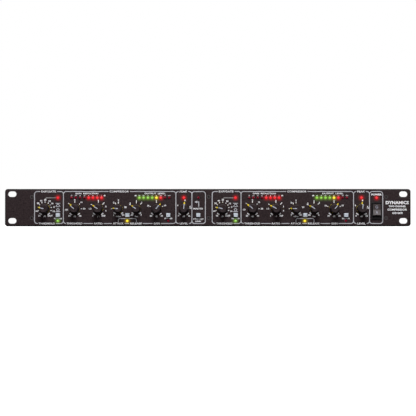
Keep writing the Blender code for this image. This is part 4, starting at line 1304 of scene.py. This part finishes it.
def xlr_shell(kind, half):
    """A three-pole panel connector's shell, with a chamfered mouth."""
    cavity, end = XLR_CAVITY[kind], XLR_CAVITY_DEPTH
    barrel = new_rod(XLR_BARREL, (depth(22), depth(1)), 48)
    mouth = sunk_lathe([(0, -1), (cavity + 0.9, -1), (cavity + 0.9, 0), (cavity, 0.9),
                        (cavity, end), (0, end)], 48)
    sink = finished(sunk_lathe([(0, -1), (2.55, -1), (2.55, 0.3), (1.6, 1.3), (1.6, 3), (0, 3)],
                               24), "sink")
    steps = [("UNION", barrel), ("DIFFERENCE", mouth), ("DIFFERENCE", repeated(sink, XLR_SCREWS))]
    if kind == "input":
        core = sunk_lathe([(0, 6), (6.6, 6), (XLR_CORE, 6.6), (XLR_CORE, 14), (0, 14)], 40)
        sockets = bmesh.new()
        for u, v in POLES:
            rod(sockets, u, v, 1.4 * MM, (depth(12), depth(5)), 20)
        notch = block(about(0, 4.4 * MM), (10.5 * MM, 14.4 * MM), (depth(1.2), depth(-1)))
        steps += [("UNION", core), ("DIFFERENCE", sockets), ("DIFFERENCE", notch)]
    else:
        key = block(about(0, 0.9 * MM), ((cavity - 0.8) * MM, (cavity + 0.4) * MM),
                    (depth(end + 1), depth(2)))
        steps += [("UNION", key)]
    return combined(flange_plate(half, 3 * MM), *steps)


def xlr_contacts(kind):
    if kind == "input":
        profile = [(0.95, 6.35), (1.36, 6.35), (1.36, 11.9), (0.95, 11.9), (0.95, 6.35)]
    else:
        profile = [(0, 5.5), (0.5, 5.56), (0.95, 5.85), (1.2, 6.5), (1.2, 13.4), (0, 13.4)]
    return finished(repeated(finished(sunk_lathe(profile, 20), "contact"), POLES), "contacts")


def latch_mesh():
    bm = block(about(0, 4.1 * MM), (10.8 * MM, 14.1 * MM), (depth(1.1), depth(0.15)))
    grips = bmesh.new()
    for i in range(3):
        box(grips, about(0, 3 * MM), about((11.5 + i * 0.95) * MM, 0.2 * MM),
            (depth(0.4), depth(-1)))
    return combined(bevelled(finished(bm, "latch"), 0.3 * MM, 3), ("DIFFERENCE", grips))


def flange_screw():
    profile = [(0, 0.12), (2.2, 0.12), (2.38, 0.25), (2.38, 0.4), (1.5, 1.2), (1.4, 6), (0, 6)]
    return combined(finished(sunk_lathe(profile, 32), "flange_screw"),
                    *cross_recess(depth(0.12), 1.4 * MM))


def xlr_sockets():
    screws = finished(repeated(flange_screw(), XLR_SCREWS), "flange_screws")
    latch = latch_mesh()
    names = sorted(name for name in frame["nodes"] if "xlr" in name)
    made = {kind: (xlr_shell(kind, half_size(names[0])), xlr_contacts(kind))
            for kind in XLR_CAVITY}
    for name in names:
        kind = name.split("_")[0]
        at = centre(name)
        place = on_rear(at.x, at.z)
        shell, contacts = made[kind]
        fixed(f"{name}_shell", shell, CONNECTOR_PLASTIC, "connector_plastic", place,
              [name])
        fixed(f"{name}_contacts", contacts, CONTACT_METAL, "steel", place)
        fixed(f"{name}_screws", screws, BLACK_STEEL, "black_steel", place)
        if kind == "input":
            fixed(f"{name}_latch", latch, STEEL, "steel", place)


def jacks():
    """Quarter-inch sockets: a moulded case and bush, held by a hexagon nut."""
    body = bevelled(finished(block(about(0, 7.5 * MM), about(0, 7.5 * MM),
                                   (depth(28), depth(6))), "jack"), 0.6 * MM)
    bush = sunk_lathe([(0, 0.3), (4.5, 0.3), (4.85, 0.7), (4.85, 7), (0, 7)], 40)
    bore = sunk_lathe([(0, -1), (3.9, -1), (3.9, 0.3), (3.3, 0.9), (3.3, 25), (0, 25)], 40)
    body = combined(body, ("UNION", bush), ("DIFFERENCE", bore))
    hexagon = new_rod(7.3 * MM, (0.6 * MM, depth(0.5)), 6)
    hole = new_rod(4.9 * MM, (0, FLANGE_OUT), 40)
    nut = combined(bevelled(finished(hexagon, "nut"), 0.3 * MM, 3), ("DIFFERENCE", hole))
    washer = finished(lathe([(4.9, 0.6), (7.2, 0.6), (7.2, 0.1), (4.9, 0.1), (4.9, 0.6)], 40),
                      "washer")
    for name in sorted(name for name in frame["nodes"] if "jack" in name):
        at = centre(name)
        place = on_rear(at.x, at.z)
        fixed(f"{name}_body", body, CONNECTOR_PLASTIC, "connector_plastic", place,
              [name])
        fixed(f"{name}_nut", nut, STEEL, "steel", place)
        fixed(f"{name}_washer", washer, STEEL, "steel", place)


def inlet():
    """A three-blade appliance inlet in its flange."""
    body = block(about(0, 14 * MM), about(0, 10.1 * MM), (depth(22), depth(1)))
    cavity = bmesh.new()
    prism(cavity, list(rounded(0, 0, 12.1 * MM, 8.2 * MM, 1.2 * MM, 4)), (depth(19), depth(-1)))
    at = centre("mains_inlet")
    place = on_rear(at.x, at.z)
    shell = combined(flange_plate(half_size("mains_inlet"), 2 * MM), ("UNION", body),
                     ("DIFFERENCE", cavity))
    fixed("mains_inlet_shell", shell, CONNECTOR_PLASTIC, "connector_plastic", place,
          ["mains_inlet"])
    blades = bmesh.new()
    for u, v in BLADES:
        box(blades, about(u, MM), about(v, 2.2 * MM), (depth(26), depth(6.5)))
    fixed("mains_inlet_blades", bevelled(finished(blades, "blades"), 0.4 * MM, 3), CONTACT_METAL,
          "steel", place)


def rear_labels():
    ink = Ink("rear_labels", PRINT)
    for name in frame["nodes"]:
        for part, words, v in (("input_xlr", "INPUT", 39.4), ("output_xlr", "OUTPUT", 39.4),
                               ("sidechain_jack", "SIDE CHAIN", 31.5)):
            if name.startswith(part):
                ink.text(words, -centre(name).x / MM, v, 2.2, bold=0.03)
    for x, words in ((-94, "CHANNEL 1"), (29, "CHANNEL 2")):
        ink.text(words, -x, 21.0, 3.0, bold=0.03)
        ink.stroke([(-x - 10, 17.8), (-x + 10, 17.8)], 0.4)
    ink.text("AC SUPPLY", -centre("mains_inlet").x / MM, 37.2, 2.2, bold=0.03)
    ink.print_on(on_rear(0, 0, INK_H))


# Inside

BOARD_HOLES = [(x, y) for x in (-195 * MM, -40 * MM, 115 * MM) for y in (30 * MM, 164 * MM)]
CHIPS = [((-184 + 31 * column) * MM, (48 + 34 * row) * MM) for column in range(8)
         for row in range(3)]
CHIP_HALF = (9.8 * MM, 3.4 * MM)
CHIP_TALL = 3.8 * MM
CANS = [(x * MM, 146 * MM) for x in (-160, -98, -36, 26)]
SMOOTHING = [(104 * MM, 62 * MM), (104 * MM, 92 * MM)]


def in_case(places):
    """(x, depth behind the panel) pairs as world (x, y)."""
    return [(x, behind_y(d)) for x, d in places]


def audio_board():
    """The main board, with its chips, level transformers and smoothing capacitors."""
    low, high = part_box("main_board")
    deck = low.z + BOARD_THICK
    edge = list(rounded((low.x + high.x) / 2, (low.y + high.y) / 2, (high.x - low.x) / 2,
                        (high.y - low.y) / 2, 2 * MM, 4))
    holes = [list(circle(x, y, 1.7 * MM, 20)) for x, y in in_case(BOARD_HOLES)]
    board = finished(plate([edge, *holes], (low.z, deck)), "board")
    fixed("audio_board", board, SOLDER_MASK, "circuit_board", None, ["main_board"])

    body = block(about(0, CHIP_HALF[0]), about(0, CHIP_HALF[1]),
                 (deck + 0.5 * MM, deck + CHIP_TALL))
    chip = bevelled(finished(body, "chip"), 0.35 * MM)
    chips = finished(repeated(chip, in_case(CHIPS)), "chips")
    fixed("audio_chips", chips, SWITCH_PLASTIC, "switch_plastic")
    legs = bmesh.new()
    for i in range(8):
        u = (i - 3.5) * 2.54 * MM
        for side in (-1, 1):
            box(legs, about(u, 0.3 * MM), about(side * 3.55 * MM, 0.15 * MM), (deck, deck + 2 * MM))
    legs = finished(repeated(finished(legs, "legs"), in_case(CHIPS)), "legs")
    fixed("chip_legs", legs, STEEL, "steel")

    small = lathe([(0, 7), (2.1, 7), (2.5, 6.6), (2.5, 6.2), (2.35, 5.9), (2.5, 5.6), (2.5, 0),
                   (0, 0)], 20)
    places = [(x + 15.5 * MM, y - 4 * MM, deck) for x, y in in_case(CHIPS)]
    small = repeated(finished(small, "small_can"), places)
    fixed("small_capacitors", finished(small, "cans"), CAN_SLEEVE, "knob_plastic")
    large = lathe([(0, 26), (7.4, 26), (9, 24.8), (9, 23.4), (8.5, 22.6), (9, 21.8), (9, 0),
                   (0, 0)], 40)
    places = [(x, y, deck) for x, y in in_case(SMOOTHING)]
    large = finished(repeated(finished(large, "large_can"), places), "cans")
    fixed("smoothing_capacitors", large, CAN_SLEEVE, "knob_plastic")
    can = block(about(0, 11 * MM), about(0, 8 * MM), (deck + 0.2 * MM, deck + 15 * MM))
    cans = repeated(bevelled(finished(can, "can"), 1.2 * MM, 3), in_case(CANS))
    fixed("level_transformers", finished(cans, "cans"), STEEL, "steel")


def winding_mesh():
    """A ring wound with tape, whose turns overlap and leave low ridges."""
    low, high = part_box("toroidal_transformer")
    outer, inner = (high.x - low.x) / 2, 8 * MM
    half = ((outer - inner) / 2, (high.z - low.z) / 2)
    bm = bmesh.new()
    steps = 144
    rings = []
    for i in range(steps):
        turn = 2 * math.pi * i / steps
        sunk = 0.12 * MM * (i % 3)
        ring = []
        for r, z in rounded((outer + inner) / 2, (high.z + low.z) / 2, half[0] - sunk,
                            half[1] - sunk, 5 * MM - sunk, 5):
            ring.append(bm.verts.new((r * math.cos(turn), r * math.sin(turn), z)))
        rings.append(ring)
    for i, ring in enumerate(rings):
        after = rings[(i + 1) % steps]
        for k in range(len(ring)):
            m = (k + 1) % len(ring)
            bm.faces.new((ring[k], ring[m], after[m], after[k]))
    return finished(bm, "winding")


def transformer():
    at = centre("toroidal_transformer")
    place = Matrix.Translation((at.x, at.y, 0))
    fixed("taped_winding", winding_mesh(), WINDING_TAPE, "transformer_windings", place,
          ["toroidal_transformer"])
    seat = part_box("toroidal_transformer")[1].z + 0.3 * MM
    washer = lathe([(2.6, 0.5), (6, 0.5), (8, 1.3), (17.2, 1.3), (18, 0.7), (18, 0), (2.6, 0),
                    (2.6, 0.5)], 64, seat)
    nut = new_rod(5 * MM, (seat + 0.6 * MM, seat + 4.6 * MM), 6)
    bolt = lathe([(0, 41), (2.1, 41), (2.5, 40.5), (2.5, 1.6), (0, 1.6)], 24)
    fixed("clamp_washer", finished(washer, "washer"), STEEL, "steel", place)
    fixing = combined(bevelled(finished(nut, "nut"), 0.3 * MM), ("UNION", bolt))
    fixed("clamp_bolt", fixing, STEEL, "steel", place, ["transformer_bolt"])
    carried_over("heatsink", ALUMINIUM, 0.2 * MM)
    for name in frame["nodes"]:
        if name.startswith("shaft_"):
            carried_over(name, STEEL)


# Floor, light and camera

CAMERA_DISTANCE = 1.5
CAMERA_V = -14 * MM
VIEW_WIDTH = 494.6 * MM
SENSOR = 36.0
FLOOR_X = (-3.0, 3.0)
FLOOR_Y = (-3.0, 0.5)


def studio():
    """Soft lights, and a world that is white to the camera and dim to everything else."""
    scene = bpy.context.scene
    scene.view_settings.view_transform = "Standard"
    world = bpy.data.worlds.new("studio")
    scene.world = world
    world.use_nodes = True
    tree = world.node_tree
    ambient = tree.nodes["Background"]
    ambient.inputs["Color"].default_value = (0.96, 0.98, 1.0, 1)
    ambient.inputs["Strength"].default_value = 0.012
    seen = tree.nodes.new("ShaderNodeBackground")
    seen.inputs["Strength"].default_value = 1.0
    path = tree.nodes.new("ShaderNodeLightPath")
    mix = tree.nodes.new("ShaderNodeMixShader")
    seen.inputs["Color"].default_value = (1, 1, 1, 1)
    tree.links.new(path.outputs["Is Camera Ray"], mix.inputs[0])
    tree.links.new(ambient.outputs[0], mix.inputs[1])
    tree.links.new(seen.outputs[0], mix.inputs[2])
    tree.links.new(mix.outputs[0], tree.nodes["World Output"].inputs["Surface"])
    front = (0, FACE_Y, MID_Z)
    softbox("top_front", (0, FACE_Y - 0.8, 0.85), front, (0.5, 0.16), 13.0)
    for side in (-1, 1):
        softbox(f"side_{side}", (side * 0.9, FACE_Y - 0.85, 0.5), front, (0.4, 0.3), 2.2)
        softbox(f"flank_{side}", (side * 1.4, 0.35, 0.5), (0, 0, MID_Z), (0.8, 0.4), 12)
    softbox("overhead", (0, 0.35, 1.5), (0, 0, 0), (2.2, 1.2), 40)
    softbox("rear", (0.2, 1.3, 0.5), (0, REAR_Y, MID_Z), (1.2, 0.4), 16)


def softbox(name, place, aim, size, power):
    light = bpy.data.lights.new(name, "AREA")
    light.shape = "RECTANGLE"
    light.size, light.size_y = size
    light.energy = power
    obj = linked(name, light)
    obj.visible_camera = False
    obj.location = place
    obj.rotation_euler = (Vector(aim) - Vector(place)).to_track_quat("-Z", "Y").to_euler()


def floor():
    """A floor that is pale to the camera and nearly black to bounced light."""
    bm = bmesh.new()
    box(bm, FLOOR_X, FLOOR_Y, (-0.4 * MM, -0.2 * MM))
    material, shader = principled("floor", (0.93, 0.93, 0.93), 0.8, specular=0.1)
    tone = node(material, "Mix", data_type="RGBA", in_6=(0.02, 0.02, 0.02, 1),
                in_7=(0.15, 0.15, 0.15, 1))
    path = node(material, "LightPath")
    wire(material, path.outputs["Is Camera Ray"], tone.inputs[0])
    wire(material, tone.outputs[2], shader.inputs["Base Color"])
    shader.inputs["Emission Color"].default_value = (1, 1, 1, 1)
    lift = node(material, "Math", operation="MULTIPLY", in_1=0.95)
    wire(material, path.outputs["Is Camera Ray"], lift.inputs[0])
    wire(material, lift.outputs[0], shader.inputs["Emission Strength"])
    obj = linked("floor", finished(bm, "floor"))
    obj.data.materials.append(material)
    obj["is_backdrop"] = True


def camera():
    data = bpy.data.cameras.new("camera")
    data.sensor_width = SENSOR
    data.clip_start = 0.005
    data.lens = SENSOR * CAMERA_DISTANCE / VIEW_WIDTH
    obj = linked("camera", data)
    obj.location = (0, FACE_Y - CAMERA_DISTANCE, MID_Z + CAMERA_V)
    aim = Vector((0.24 * MM, FACE_Y, MID_Z - 0.6 * MM))
    obj.rotation_euler = (aim - obj.location).to_track_quat("-Z", "Y").to_euler()
    bpy.context.scene.camera = obj


camera()
studio()
floor()
front_panel()
panel_screws()
lamps()
knobs()
buttons()
printed_frames()
printed_words()
ear_title()
printed_scales()
printed_symbols()
power_switch()
control_boards()
case()
xlr_sockets()
jacks()
inlet()
rear_labels()
audio_board()
transformer()

bpy.context.view_layer.update()
boxes = {"cad": CAD_BOX, "visual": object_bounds()}
{name: [list(corner) for corner in ends] for name, ends in boxes.items()}
